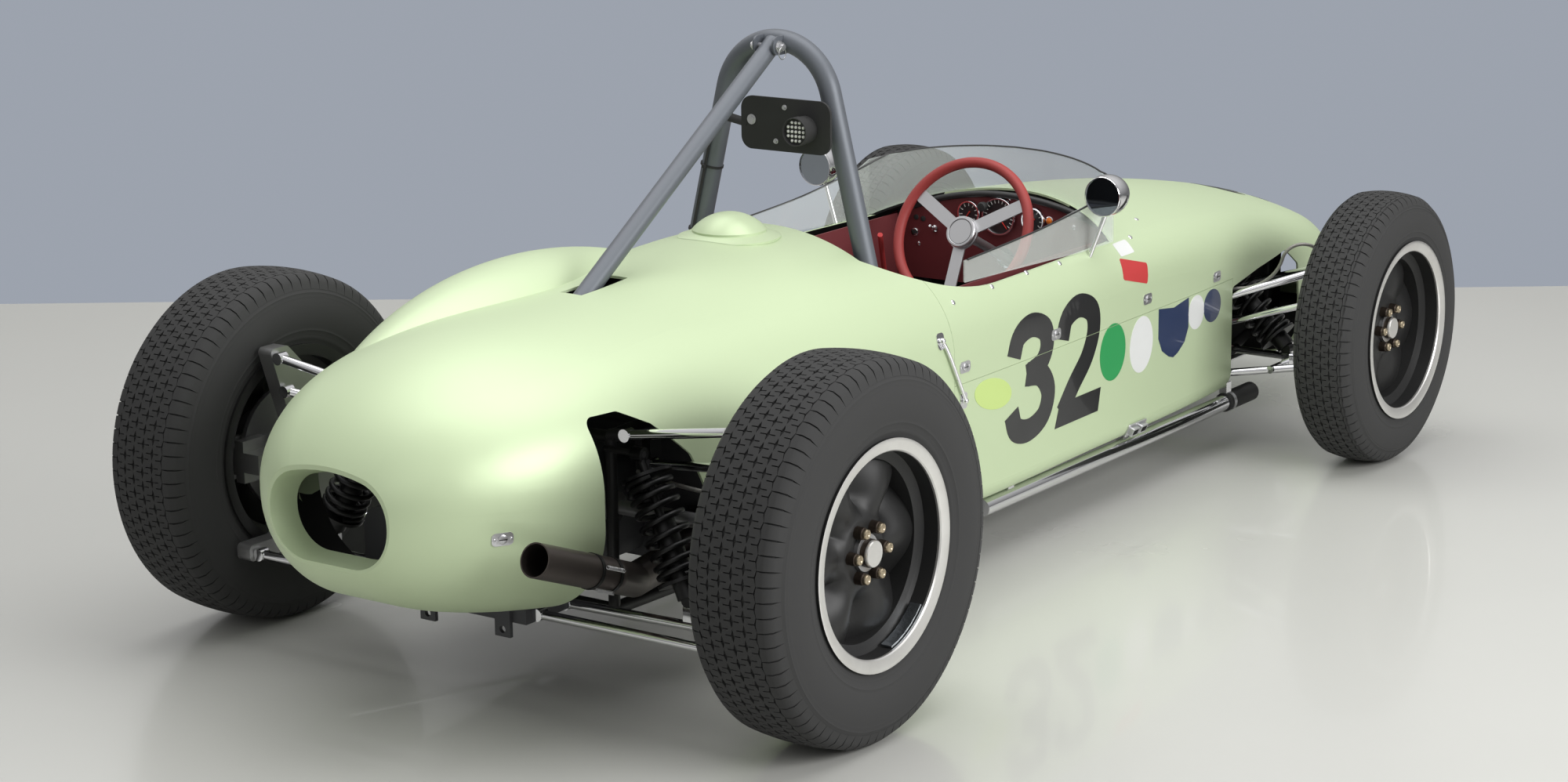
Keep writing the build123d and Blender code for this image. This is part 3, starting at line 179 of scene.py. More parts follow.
# Finishes. Columns: colour, metallic, roughness, spread, coat, dusty colour, patch scale, amount,
# grain scale, bump distance in millimetres
FINISHES = {
    "frame_black": ((0.012, 0.012, 0.013), 0, 0.32, 0.15, 0.2, (0.035, 0.033, 0.03), 9, 0.35, 500, 0.03),
    "hoop_grey": (None, 0, 0.42, 0.12, 0.15, (0.16, 0.17, 0.19), 8, 0.3, 700, 0.04),
    "dash_maroon": (None, 0, 0.38, 0.12, 0.2, (0.24, 0.07, 0.07), 7, 0.3, 900, 0.05),
    "trim_maroon": (None, 0, 0.5, 0.15, 0, (0.22, 0.06, 0.06), 8, 0.3, 260, 0.35),
    "chrome": ((0.82, 0.81, 0.79), 1, 0.09, 0.1, 0, (0.5, 0.48, 0.45), 12, 0.25, 600, 0.01),
    "bare_alloy": ((0.66, 0.66, 0.66), 1, 0.34, 0.2, 0, (0.42, 0.41, 0.39), 14, 0.5, 700, 0.05),
    "cast_alloy": ((0.30, 0.30, 0.30), 0.85, 0.52, 0.2, 0, (0.13, 0.125, 0.12), 10, 0.6, 320, 0.35),
    "wheel_black": ((0.004, 0.004, 0.005), 0, 0.12, 0.05, 0.6, (0.03, 0.03, 0.03), 7, 0.3, 300, 0.02),
    "tyre": ((0.011, 0.011, 0.012), 0, 0.42, 0.16, 0, (0.028, 0.027, 0.025), 9, 0.5, 700, 0.07),
    "hub_steel": ((0.40, 0.40, 0.40), 1, 0.38, 0.25, 0, (0.2, 0.17, 0.14), 16, 0.5, 500, 0.06),
    "engine_iron": ((0.03, 0.03, 0.032), 0.2, 0.5, 0.2, 0, (0.08, 0.075, 0.07), 10, 0.4, 260, 0.4),
    "exhaust_steel": ((0.045, 0.037, 0.034), 0.6, 0.5, 0.3, 0, (0.12, 0.10, 0.085), 15, 0.6, 420, 0.12),
    "spring_black": ((0.012, 0.012, 0.013), 0, 0.22, 0.1, 0.5, (0.06, 0.055, 0.05), 12, 0.3, 500, 0.02),
    "rim_leather": (None, 0, 0.4, 0.12, 0.1, (0.5, 0.05, 0.04), 9, 0.35, 620, 0.12),
    "seat_vinyl": ((0.022, 0.022, 0.024), 0, 0.5, 0.16, 0, (0.05, 0.05, 0.05), 7, 0.4, 420, 0.25),
    "lamp_black": ((0.014, 0.014, 0.014), 0, 0.42, 0.15, 0, (0.04, 0.04, 0.04), 10, 0.3, 600, 0.08),
    "nut_brass": ((0.50, 0.42, 0.30), 1, 0.34, 0.2, 0, (0.3, 0.24, 0.16), 30, 0.4, 800, 0.04),
    "sleeve_brown": ((0.045, 0.033, 0.026), 0.7, 0.4, 0.2, 0, (0.1, 0.08, 0.06), 30, 0.4, 800, 0.04),
    "machined_lip": ((0.78, 0.77, 0.75), 0.9, 0.36, 0.14, 0, (0.6, 0.58, 0.55), 18, 0.4, 900, 0.03),
    "foil": ((0.62, 0.67, 0.72), 1, 0.18, 0.2, 0, (0.45, 0.5, 0.56), 60, 0.6, 160, 0.5),
    "hose_rubber": ((0.02, 0.02, 0.02), 0, 0.55, 0.1, 0, (0.05, 0.05, 0.048), 12, 0.4, 700, 0.1),
    "braided_hose": ((0.36, 0.35, 0.33), 0.7, 0.42, 0.2, 0, (0.2, 0.19, 0.17), 30, 0.4, 2600, 0.3),
    "decal_black": ((0.012, 0.012, 0.013), 0, 0.3, 0.06, 0.4, (0.05, 0.05, 0.05), 9, 0.2, 500, 0.01),
    "decal_white": ((0.72, 0.73, 0.72), 0, 0.3, 0.06, 0.4, (0.6, 0.6, 0.58), 9, 0.2, 500, 0.01),
    "decal_green": ((0.03, 0.30, 0.09), 0, 0.3, 0.06, 0.4, (0.06, 0.33, 0.12), 9, 0.2, 500, 0.01),
    "decal_navy": ((0.02, 0.035, 0.09), 0, 0.3, 0.06, 0.4, (0.05, 0.06, 0.12), 9, 0.2, 500, 0.01),
    "decal_faint": ((0.50, 0.65, 0.20), 0, 0.3, 0.06, 0.6, (0.52, 0.66, 0.21), 9, 0.2, 500, 0.01),
    "gauge_face": ((0.012, 0.012, 0.013), 0, 0.4, 0.05, 0.6, (0.03, 0.03, 0.03), 20, 0.2, 900, 0.01),
    "mark_white": ((0.75, 0.75, 0.72), 0, 0.4, 0.05, 0, (0.6, 0.6, 0.58), 20, 0.2, 900, 0.01),
    "needle_red": ((0.75, 0.03, 0.015), 0, 0.35, 0.05, 0.3, (0.6, 0.05, 0.03), 20, 0.2, 900, 0.01),
    "lever_red": ((0.45, 0.012, 0.014), 0, 0.3, 0.08, 0.5, (0.5, 0.05, 0.04), 14, 0.3, 700, 0.02),
    "lamp_orange": ((0.85, 0.20, 0.015), 0, 0.18, 0.05, 0.8, (0.9, 0.3, 0.05), 20, 0.3, 900, 0.01),
    "trim_black": ((0.016, 0.016, 0.017), 0, 0.45, 0.15, 0, (0.05, 0.05, 0.05), 9, 0.3, 420, 0.2),
    "mirror_glass": ((0.30, 0.33, 0.37), 1, 0.03, 0.03, 0, (0.36, 0.39, 0.42), 18, 0.3, 500, 0.002),
    # Painted shade: a near-black, dull finish for hollows and enclosed inner faces where shade falls
    "inside_dark": ((0.010, 0.010, 0.010), 0, 0.65, 0.1, 0, (0.022, 0.022, 0.02), 9, 0.3, 500, 0.05),
}


def by_word(groups):
    """Maps each word of the values to its key."""
    return {word: key for key, words in groups.items() for word in words.split()}


# Finishes that mirror less than plain plastic does
# The painted shade's finish mirrors least of all, so that it stays dark
DULL = {"tyre": 0.4, "decal_black": 0.4, "wheel_black": 0.3, "frame_black": 0.3, "inside_dark": 0.12,
        "spring_black": 0.3, "seat_vinyl": 0.25, "lamp_black": 0.25}
PROPERTY_COLOURS = {"hoop_grey": "hoop", "dash_maroon": "trim", "trim_maroon": "trim", "rim_leather": "grip"}


def finish(name):
    """The procedural material of that name, made once."""
    found = bpy.data.materials.get(name)
    if found:
        return found
    if name == "body_green":
        return body_paint()
    if name == "screen_clear":
        return screen_sheet()
    colour, *rest = FINISHES[name]
    if colour is None:
        colour = tuple(getattr(colours(), PROPERTY_COLOURS[name]))
    return shaded(name, colour, *rest)


def shaded(name, colour, metal, rough, spread, coat, dusty, scale, amount, grain, bump):
    """A Principled material whose colour, roughness and bump come from the surface group."""
    material = bpy.data.materials.new(name)
    material.use_nodes = True
    tree = material.node_tree
    shader = tree.nodes["Principled BSDF"]
    shader.inputs["Metallic"].default_value = metal
    shader.inputs["Coat Weight"].default_value = coat
    shader.inputs["Specular IOR Level"].default_value = DULL.get(name, 0.5)
    shader.inputs["Coat Roughness"].default_value = 0.04
    place = node(tree, "ShaderNodeTexCoord")
    wear = node(tree, "ShaderNodeGroup", node_tree=surface_group())
    tree.links.new(place.outputs["Object"], wear.inputs["Vector"])
    for label, value in (("Clean", (*colour, 1)), ("Dusty", (*dusty, 1)), ("Patch Scale", scale),
                         ("Patch Amount", amount), ("Roughness", rough), ("Roughness Spread", spread),
                         ("Grain Scale", grain)):
        wear.inputs[label].default_value = value
    tree.links.new(wear.outputs["Colour"], shader.inputs["Base Color"])
    tree.links.new(wear.outputs["Roughness"], shader.inputs["Roughness"])
    relief = node(tree, "ShaderNodeBump", {"Strength": 1.0, "Distance": bump / 1000,
                  "Height": wear.outputs["Height"]})
    tree.links.new(relief.outputs["Normal"], shader.inputs["Normal"])
    material.diffuse_color = (*colour, 1)
    return material


def body_paint():
    """Glossy pastel paint under a clear coat."""
    colour = tuple(colours().body)
    paler = tuple(min(1.0, c * 1.05 + 0.01) for c in colour)
    material = shaded("body_green", colour, 0, 0.42, 0.06, 0.8, paler, 3.0, 0.5, 180, 0.006)
    material.node_tree.nodes["Principled BSDF"].inputs["Coat Roughness"].default_value = 0.02
    return material


def screen_sheet():
    """Thin clear sheet with a faint tint and a faint haze."""
    material = bpy.data.materials.new("screen_clear")
    material.use_nodes = True
    tree = material.node_tree
    shader = tree.nodes["Principled BSDF"]
    shader.inputs["Base Color"].default_value = (0.86, 0.94, 0.89, 1)
    shader.inputs["Transmission Weight"].default_value = 1.0
    shader.inputs["IOR"].default_value = 1.12
    place = node(tree, "ShaderNodeTexCoord")
    haze = node(tree, "ShaderNodeTexNoise", {"Scale": 14.0, "Detail": 4.0, "Vector": place.outputs["Object"]})
    film = node(tree, "ShaderNodeMapRange", {"Value": haze.outputs["Fac"], "From Min": 0.4, "From Max": 0.8,
                "To Min": 0.01, "To Max": 0.07})
    tree.links.new(film.outputs["Result"], shader.inputs["Roughness"])
    return material


# Mesh building

def linked(name, data):
    """A new object in the scene."""
    made = bpy.data.objects.new(name, data)
    bpy.context.scene.collection.objects.link(made)
    return made


def turn_out(mesh, merge=0):
    """Merges doubles and turns the normals out."""
    work = bmesh.new()
    work.from_mesh(mesh)
    if merge:
        bmesh.ops.remove_doubles(work, verts=work.verts, dist=merge)
    bmesh.ops.recalc_face_normals(work, faces=work.faces)
    work.to_mesh(mesh)
    work.free()


def band(low, high, inner, outer):
    """The profile of a plain ring."""
    return [(low, inner), (low, outer), (high, outer), (high, inner)]


class Piece:
    """Collects shapes into one mesh; a shape's slot picks its finish."""

    def __init__(self, *finishes):
        self.finishes = finishes
        self.verts = []
        self.faces = []
        self.slots = []

    def add(self, verts, faces, slot=0, place=None):
        start = len(self.verts)
        self.verts += [place @ Vector(v) if place else Vector(v) for v in verts]
        self.faces += [[start + i for i in face] for face in faces]
        self.slots += [slot] * len(faces)

    def rows(self, verts, segments, slot, closed):
        """Joins rows of points: the last row to the first, or else with a cap at both ends."""
        rows = len(verts) // segments
        faces = []
        for row in range(rows if closed else rows - 1):
            a = row * segments
            b = (row + 1) % rows * segments
            for k in range(segments):
                n = (k + 1) % segments
                faces.append((a + k, a + n, b + n, b + k))
        if not closed:
            faces.append(tuple(range(segments - 1, -1, -1)))
            faces.append(tuple(range((rows - 1) * segments, rows * segments)))
        self.add(verts, faces, slot)

    def lathe(self, profile, origin, axis, segments=48, slot=0, wave=None, closed=False):
        """Turns (along, radius) points about an axis; wave moves a point along it by its radius and angle."""
        axis = Vector(axis).normalized()
        side = axis.orthogonal().normalized() if abs(axis.y) < 0.99 else Vector((1, 0, 0))
        up = axis.cross(side)
        verts = []
        for along, radius in profile:
            for k in range(segments):
                turn = 2 * pi * k / segments
                lift = along + (wave(radius, turn) if wave else 0.0)
                verts.append(Vector(origin) + axis * lift + (side * cos(turn) + up * sin(turn)) * radius)
        self.rows(verts, segments, slot, closed)

    def turned(self, profile, *place, **options):
        """A lathe shape whose profile is in millimetres."""
        self.lathe(metres(profile), *place, **options)

    def rod(self, start, end, radius, segments=16, slot=0, tip=None):
        way = end - start
        self.lathe([(0, radius), (way.length, tip or radius)], start, way, segments, slot)

    def tube(self, points, radius, segments=10, slot=0, closed=False):
        """A round tube along points, its section carried without twist."""
        count = len(points)
        side = (points[1] - points[0]).normalized().orthogonal().normalized()
        verts = []
        for i, spot in enumerate(points):
            before = points[i - 1] if closed or i else spot
            after = points[(i + 1) % count] if closed or i < count - 1 else spot
            heading = (after - before).normalized()
            side = (side - heading * side.dot(heading)).normalized()
            up = heading.cross(side)
            for k in range(segments):
                turn = 2 * pi * k / segments
                verts.append(spot + (side * cos(turn) + up * sin(turn)) * radius)
        self.rows(verts, segments, slot, closed)

    def block(self, low, high, slot=0, place=None):
        """A box between two corners, which are in millimetres."""
        x0, y0, z0 = (v / 1000 for v in low)
        x1, y1, z1 = (v / 1000 for v in high)
        verts = [(x0, y0, z0), (x1, y0, z0), (x1, y1, z0), (x0, y1, z0),
                 (x0, y0, z1), (x1, y0, z1), (x1, y1, z1), (x0, y1, z1)]
        faces = [(3, 2, 1, 0), (4, 5, 6, 7), (0, 1, 5, 4), (1, 2, 6, 5), (2, 3, 7, 6), (3, 0, 4, 7)]
        self.add(verts, faces, slot, place)

    def plate(self, outline, thickness, place, slot=0):
        """A flat plate: an outline in the local plane, thick along local z."""
        count = len(outline)
        verts = [(x, y, 0) for x, y in outline] + [(x, y, thickness) for x, y in outline]
        faces = [tuple(range(count - 1, -1, -1)), tuple(range(count, 2 * count))]
        faces += [(i, (i + 1) % count, count + (i + 1) % count, count + i) for i in range(count)]
        self.add(verts, faces, slot, place)

    def ball(self, centre, radius, segments=16):
        rows = segments // 2
        turns = [-pi / 2 + pi * k / rows for k in range(1, rows)]
        self.lathe([(radius * sin(turn), radius * cos(turn)) for turn in turns], centre, UP, segments)

    def mesh(self, name):
        mesh = bpy.data.meshes.new(name)
        mesh.from_pydata(self.verts, [], self.faces)
        for label in self.finishes:
            mesh.materials.append(finish(label))
        mesh.polygons.foreach_set("material_index", self.slots)
        return mesh

    def done(self, name, body="chassis", **options):
        finish_piece(self.mesh(name), name, body, self.finishes[0], **options)


BEVEL_STEPS = 2
BEVEL_FROM = 40.0


def small_shape(paint, profile, segments):
    """A turned shape standing on the origin, for scatter; its profile is in millimetres."""
    shape = Piece(paint)
    shape.turned(profile, ORIGIN, UP, segments)
    return shape


def finish_piece(mesh, name, body, main_finish, replaces=(), bevel=0.0, smooth=35.0, merge=0.00005):
    """Merges doubles, turns normals out, rounds edges and hands the piece to its body."""
    turn_out(mesh, merge)
    piece = linked(name, mesh)
    if bevel:
        rounding = piece.modifiers.new("edges", "BEVEL")
        rounding.width = bevel
        rounding.segments = BEVEL_STEPS
        rounding.limit_method = "ANGLE"
        rounding.angle_limit = radians(BEVEL_FROM)
        bake_modifiers(piece)
    piece.data.shade_smooth()
    piece.data.set_sharp_from_angle(angle=radians(smooth))
    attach(piece, body)
    if replaces:
        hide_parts(*replaces)


def bake_modifiers(piece):
    """Turns what the modifiers make into the piece's own mesh."""
    bpy.context.view_layer.update()
    seen = piece.evaluated_get(bpy.context.evaluated_depsgraph_get())
    made = bpy.data.meshes.new_from_object(seen)
    old = piece.data
    piece.modifiers.clear()
    piece.data = made
    bpy.data.meshes.remove(old)


def smooth_line(points, steps):
    """Points on a smooth curve through the given points."""
    points = [Vector(p) for p in points]
    last = len(points) - 1
    line = []
    for i in range(last):
        p1 = points[i]
        p2 = points[i + 1]
        p0 = points[i - 1] if i else p1 * 2 - p2
        p3 = points[i + 2] if i < last - 1 else p2 * 2 - p1
        for k in range(steps):
            t = k / steps
            line.append(0.5 * (2 * p1 + (p2 - p0) * t + (2 * p0 - 5 * p1 + 4 * p2 - p3) * t * t
                               + (3 * p1 - p0 - 3 * p2 + p3) * t ** 3))
    line.append(points[-1])
    return line


def facing(origin, normal, up=(0, 0, 1)):
    """A local frame: z along the normal, y near up."""
    z = Vector(normal).normalized()
    x = Vector(up).cross(z)
    x = x.normalized() if x.length > 1e-6 else Vector((1, 0, 0))
    y = z.cross(x)
    return Matrix.Translation(Vector(origin)) @ Matrix((x, y, z)).transposed().to_4x4()


def scatter(name, shape, places, body="chassis"):
    """Geometry Nodes put copies of a small shape on stated places, each turned to its own facing."""
    paint = shape.finishes[0]
    seeds = bpy.data.meshes.new(name + "_places")
    seeds.from_pydata([p.translation for p in places], [], [])
    turns = seeds.attributes.new("turn", "FLOAT_VECTOR", "POINT")
    for i, place in enumerate(places):
        turns.data[i].vector = place.to_euler()
    holder = linked(name, seeds)
    mesh = shape.mesh(name + "_shape")
    turn_out(mesh)
    part = linked(name + "_shape", mesh)
    tree = bpy.data.node_groups.new(name + "_nodes", "GeometryNodeTree")
    tree.interface.new_socket("Geometry", in_out="INPUT", socket_type="NodeSocketGeometry")
    size = tree.interface.new_socket("Size", in_out="INPUT", socket_type="NodeSocketFloat")
    tree.interface.new_socket("Geometry", in_out="OUTPUT", socket_type="NodeSocketGeometry")
    given = node(tree, "NodeGroupInput")
    out = node(tree, "NodeGroupOutput")
    copies = node(tree, "GeometryNodeObjectInfo", {"Object": part})
    turn = node(tree, "GeometryNodeInputNamedAttribute", {"Name": "turn"}, data_type="FLOAT_VECTOR")
    spin = node(tree, "FunctionNodeEulerToRotation", {"Euler": turn.outputs["Attribute"]})
    put = node(tree, "GeometryNodeInstanceOnPoints", {"Points": given.outputs["Geometry"],
               "Instance": copies.outputs["Geometry"], "Rotation": spin.outputs["Rotation"],
               "Scale": given.outputs["Size"]})
    real = node(tree, "GeometryNodeRealizeInstances", {"Geometry": put.outputs["Instances"]})
    painted = node(tree, "GeometryNodeSetMaterial", {"Geometry": real.outputs["Geometry"],
                   "Material": finish(paint)})
    tree.links.new(painted.outputs["Geometry"], out.inputs["Geometry"])
    modifier = holder.modifiers.new("places", "NODES")
    modifier.node_group = tree
    modifier[size.identifier] = 1.0
    bake_modifiers(holder)
    bpy.data.objects.remove(part)
    mesh = holder.data
    bpy.data.objects.remove(holder)
    finish_piece(mesh, name, body, paint, merge=0)


# The side panels meet their neighbours at this height, along a gap of twice this half width
SPLIT_Z = 0.421
SHUT_HALF = 0.0008
# Sheets laid on the body: mesh step, how far a missed line looks, height over the skin and depth under it
LAY_STEP = 0.016
NEAR_REACH = 0.36
SHEET = 0.0007
SHEET_SUNK = 0.0004
BODY_SKIN = ("tail_cowl", "front_cowl", "side_panel_right", "side_panel_left", "undertray")


class Skin:
    """Finds where a straight line first meets the outer face of some solids."""

    def __init__(self, *names):
        verts = []
        faces = []
        for name in names:
            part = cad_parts[name]
            start = len(verts)
            verts += [part.matrix_world @ v.co for v in part.data.vertices]
            faces += [[start + i for i in face.vertices] for face in part.data.polygons]
        self.tree = BVHTree.FromPolygons(verts, faces)

    def at(self, point, way):
        """The first meeting with the skin past a point, or else the nearest skin, and its outward normal."""
        way = Vector(way)
        place, normal = self.tree.ray_cast(Vector(point), way)[:2]
        if place is None:
            place, normal = self.tree.find_nearest(Vector(point) + way * NEAR_REACH)[:2]
        return place, normal if normal.dot(way) < 0 else -normal

    def side(self, side, x, z):
        """A local frame standing on the car's side at a place from the rear axle, its z outwards."""
        return facing(*self.at(rear(x, side * BESIDE, z), (0, -side, 0)))


def grid_cut(work, axis, step, gaps):
    """Cuts flat faces along one axis into strips, and takes out what lies in the gaps."""
    low = min(v.co[axis] for v in work.verts)
    high = max(v.co[axis] for v in work.verts)
    normal = Vector((axis == 0, axis == 1, 0))
    levels = [low + step * k for k in range(1, int((high - low) / step) + 1)]
    gaps = [gap for gap in gaps if low < gap < high]
    for gap in gaps:
        levels += [gap - SHUT_HALF, gap + SHUT_HALF]
    for level in levels:
        geometry = work.verts[:] + work.edges[:] + work.faces[:]
        bmesh.ops.bisect_plane(work, geom=geometry, plane_co=normal * level, plane_no=normal, dist=1e-6)
    lost = [f for f in work.faces for gap in gaps if abs(f.calc_center_median()[axis] - gap) < SHUT_HALF]
    bmesh.ops.delete(work, geom=lost, context="FACES")


def lay(piece, outline, skin, plane, slot=0, gaps=(), thick=SHEET):
    """Lays a flat outline on the skin as a thin sheet. The plane that it is drawn in has an origin, an
    across and an upward direction, and the way that it is carried."""
    origin, across, upward, way = plane
    work = bmesh.new()
    work.faces.new([work.verts.new((u, v, 0)) for u, v in outline])
    bmesh.ops.triangulate(work, faces=work.faces[:])
    grid_cut(work, 0, LAY_STEP, ())
    grid_cut(work, 1, LAY_STEP, gaps)
    work.verts.ensure_lookup_table()
    work.verts.index_update()
    outer = []
    inner = []
    for v in work.verts:
        spot, normal = skin.at(origin + across * v.co.x + upward * v.co.y, way)
        outer.append(spot + normal * thick)
        inner.append(spot - normal * SHEET_SUNK)
    count = len(outer)
    faces = []
    for face in work.faces:
        ring = [v.index for v in face.verts]
        faces.append(ring)
        faces.append([count + i for i in reversed(ring)])
    for edge in work.edges:
        if len(edge.link_faces) == 1:
            a, b = (v.index for v in edge.verts)
            faces.append([a, b, count + b, count + a])
    work.free()
    piece.add(outer + inner, faces, slot)


def side_plane(x, z, side):
    """A drawing plane beside the car, its origin at a place from the rear axle."""
    return rear(x, side * BESIDE, z), Vector((-side, 0, 0)), UP, Vector((0, -side, 0))


def stroke(points, width, steps=6):
    """The outline of a pen stroke through the points."""
    line = smooth_line([(u, v, 0) for u, v in points], steps)
    left = []
    right = []
    for i, spot in enumerate(line):
        heading = (line[min(i + 1, len(line) - 1)] - line[max(i - 1, 0)]).normalized()
        aside = Vector((-heading.y, heading.x, 0)) * width / 2
        left.append((spot + aside).to_2d())
        right.append((spot - aside).to_2d())
    return [tuple(p) for p in left + right[::-1]]


def tilted(outline, degrees):
    """An outline turned about its own middle."""
    turn = radians(degrees)
    return [(u * cos(turn) - v * sin(turn), u * sin(turn) + v * cos(turn)) for u, v in outline]


def oval(width, height, count=44):
    """An ellipse, its sizes in millimetres."""
    turns = [2 * pi * k / count for k in range(count)]
    return [(width / 1000 / 2 * cos(turn), height / 1000 / 2 * sin(turn)) for turn in turns]


def rounded(width, height, corner, steps=5):
    """A rectangle with round corners, its sizes in millimetres."""
    width, height, corner = width / 1000, height / 1000, corner / 1000
    ring = []
    for k, (a, b) in enumerate(((1, 1), (-1, 1), (-1, -1), (1, -1))):
        for i in range(steps + 1):
            turn = pi / 2 * (k + i / steps)
            ring.append((a * (width / 2 - corner) + corner * cos(turn),
                         b * (height / 2 - corner) + corner * sin(turn)))
    return ring


# Camera: place, then yaw, pitch and roll in degrees, lens in millimetres
CAMERA_PLACE = (-5.57967, -3.64958, 1.91016)
CAMERA_TURN = (35.179, 13.254, -0.6566)
CAMERA_LENS = 71.97
CAMERA_SHIFT = -0.01242
FLOOR_REACH = 9.1
FLOOR_HALF = 30
FLOOR_LONG = 40
WORLD_LOW = 0.16
WORLD_HIGH = 0.72
# Columns: name, place, target, width, height, power in watts
LAMPS = (
    ("lamp_ceiling", (-0.1, 0.0, 4.6), (0.0, 0, 0), 6.0, 3.4, 130),
    ("lamp_near_side", (-0.5, -5.8, 2.8), (0.3, -0.2, 0.4), 4.6, 2.4, 270),
    ("lamp_far_side", (1.5, 5.0, 3.4), (0.2, 0, 0.3), 4.0, 2.0, 12),
    ("lamp_tail", (-6.5, -1.5, 3.4), (-1.0, 0, 0.4), 3.6, 2.4, 14),
)


class CAR_OT_studio(bpy.types.Operator):
    """Floor, soft lamps, backdrop colour and the camera at the photograph's angle"""
    bl_idname = "car.studio"
    bl_label = "Studio"

    def execute(self, context):
        camera_data = bpy.data.cameras.new("camera")
        camera_data.sensor_width = 36.0
        camera_data.lens = CAMERA_LENS
        camera_data.shift_y = CAMERA_SHIFT
        camera_data.clip_end = 200
        camera = linked("camera", camera_data)
        yaw, pitch, roll = (radians(turn) for turn in CAMERA_TURN)
        ahead = Vector((cos(pitch) * cos(yaw), cos(pitch) * sin(yaw), -sin(pitch)))
        right = Vector((sin(yaw), -cos(yaw), 0))
        up = right.cross(ahead)
        right_rolled = right * cos(roll) + up * sin(roll)
        up_rolled = up * cos(roll) - right * sin(roll)
        turn = Matrix((right_rolled, up_rolled, -ahead)).transposed().to_4x4()
        camera.matrix_world = Matrix.Translation(CAMERA_PLACE) @ turn
        context.scene.camera = camera
        context.scene.view_settings.view_transform = "Standard"
        self.floor(Vector((cos(yaw), sin(yaw), 0)))
        self.world(context)
        self.lamps()
        return {"FINISHED"}

    def floor(self, ahead):
        side = Vector((ahead.y, -ahead.x, 0)) * FLOOR_HALF
        edge = Vector(CAMERA_PLACE) + ahead * FLOOR_REACH
        edge.z = 0
        near = edge - ahead * FLOOR_LONG
        mesh = bpy.data.meshes.new("floor")
        mesh.from_pydata([edge - side, edge + side, near + side, near - side], [], [(0, 3, 2, 1)])
        floor = linked("floor", mesh)
        if mesh.polygons[0].normal.z < 0:
            mesh.flip_normals()
        colour = tuple(colours().floor)
        darker = tuple(c * 0.93 for c in colour)
        mesh.materials.append(
            shaded("studio_floor", colour, 0, 0.26, 0.10, 0.25, darker, 0.9, 0.5, 120, 0.02))

    def world(self, context):
        """The light rises from the floor's level up, and the camera sees the plain backdrop colour."""
        world = bpy.data.worlds.new("studio")
        world.use_nodes = True
        context.scene.world = world
        tree = world.node_tree
        tree.nodes.clear()
        way = node(tree, "ShaderNodeTexCoord")
        part = node(tree, "ShaderNodeSeparateXYZ", {0: way.outputs["Generated"]})
        rise = node(tree, "ShaderNodeMapRange", {"Value": part.outputs["Z"], "From Min": 0.0,
                    "From Max": 0.75, "To Min": WORLD_LOW, "To Max": WORLD_HIGH})
        light = node(tree, "ShaderNodeBackground", {"Color": (1, 1, 1, 1),
                     "Strength": rise.outputs["Result"]})
        seen = node(tree, "ShaderNodeBackground", {"Color": (*colours().backdrop, 1), "Strength": 1.0})
        ray = node(tree, "ShaderNodeLightPath")
        direct = node(tree, "ShaderNodeMath", {0: ray.outputs["Is Camera Ray"],
                      1: ray.outputs["Is Transmission Ray"]}, operation="ADD", use_clamp=True)
        mix = node(tree, "ShaderNodeMixShader", {0: direct.outputs[0], 1: light.outputs[0],
                   2: seen.outputs[0]})
        out = node(tree, "ShaderNodeOutputWorld", {"Surface": mix.outputs[0]})
        out.is_active_output = True

    def lamps(self):
        for name, place, target, width, height, power in LAMPS:
            data = bpy.data.lights.new(name, "AREA")
            data.shape = "RECTANGLE"
            data.size = width
            data.size_y = height
            data.energy = power
            way = Vector(target) - Vector(place)
            turn = way.to_track_quat("-Z", "Y").to_matrix().to_4x4()
            linked(name, data).matrix_world = Matrix.Translation(place) @ turn


# Finishes of the carried-over CAD nodes, by a node's name or its first word
NODE_FINISHES = by_word({
    "body_green": "tail_cowl front_cowl side_panel_right side_panel_left filler_dome",
    "chrome": "coolant_pipes mirrors gear_lever front_wishbones rear_links track_rods",
    "frame_black": "frame radiator knuckle",
    "bare_alloy": "undertray steering_column",
    "cast_alloy": "rear_uprights rack_housing",
    "spring_black": "dampers springs",
    "exhaust_steel": "exhaust tail_pipe",
    "engine_iron": "engine gearbox",
    "hoop_grey": "roll_hoop roll_stay",
    "screen_clear": "windscreen",
    "dash_maroon": "dashboard",
    "trim_maroon": "cockpit_trim",
    "seat_vinyl": "seat",
    "rim_leather": "steering_rim",
    "lever_red": "hand_lever",
    "lamp_black": "rain_light",
    "braided_hose": "brake_hoses",
    "tyre": "tyre",
    "wheel_black": "rim",
    "hub_steel": "hub",
})
# A body face is an inner one where its normal leans to the body's middle line by more than this
BODY_AXIS_Z = 0.43
INWARD = -0.2
# How far behind the rear axle the tail's painted lip starts
TAIL_LIP = 0.505


class CAR_OT_finishes(bpy.types.Operator):
    """Gives every carried-over solid its own procedural finish"""
    bl_idname = "car.finishes"
    bl_label = "Finishes of the solids"

    def execute(self, context):
        skin = Skin(*BODY_SKIN)
        for name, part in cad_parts.items():
            label = NODE_FINISHES[name if name in NODE_FINISHES else name.split("_")[0]]
            for slot in part.material_slots:
                slot.material = finish(label)
            if label == "body_green" and name != "filler_dome":
                self.inside(part, skin)
        return {"FINISHED"}

    def inside(self, part, skin):
        """Painted shade: near-black on the body's inner faces that look onto other body panels, except on the
        tail's painted lip.
        """
        part.data.materials.append(finish("inside_dark"))
        shade_slot = len(part.data.materials) - 1
        for face in part.data.polygons:
            out = Vector((0, face.center.y, face.center.z - BODY_AXIS_Z)).normalized()
            if face.center.x < REAR_X - TAIL_LIP or face.normal.dot(out) > INWARD:
                continue
            # A face that looks onto another body panel gets the painted shade
            if skin.tree.ray_cast(face.center + face.normal * 0.001, face.normal)[0] is not None:
                face.material_index = shade_slot


CORNERS = ("rear_right", "rear_left", "front_right", "front_left")
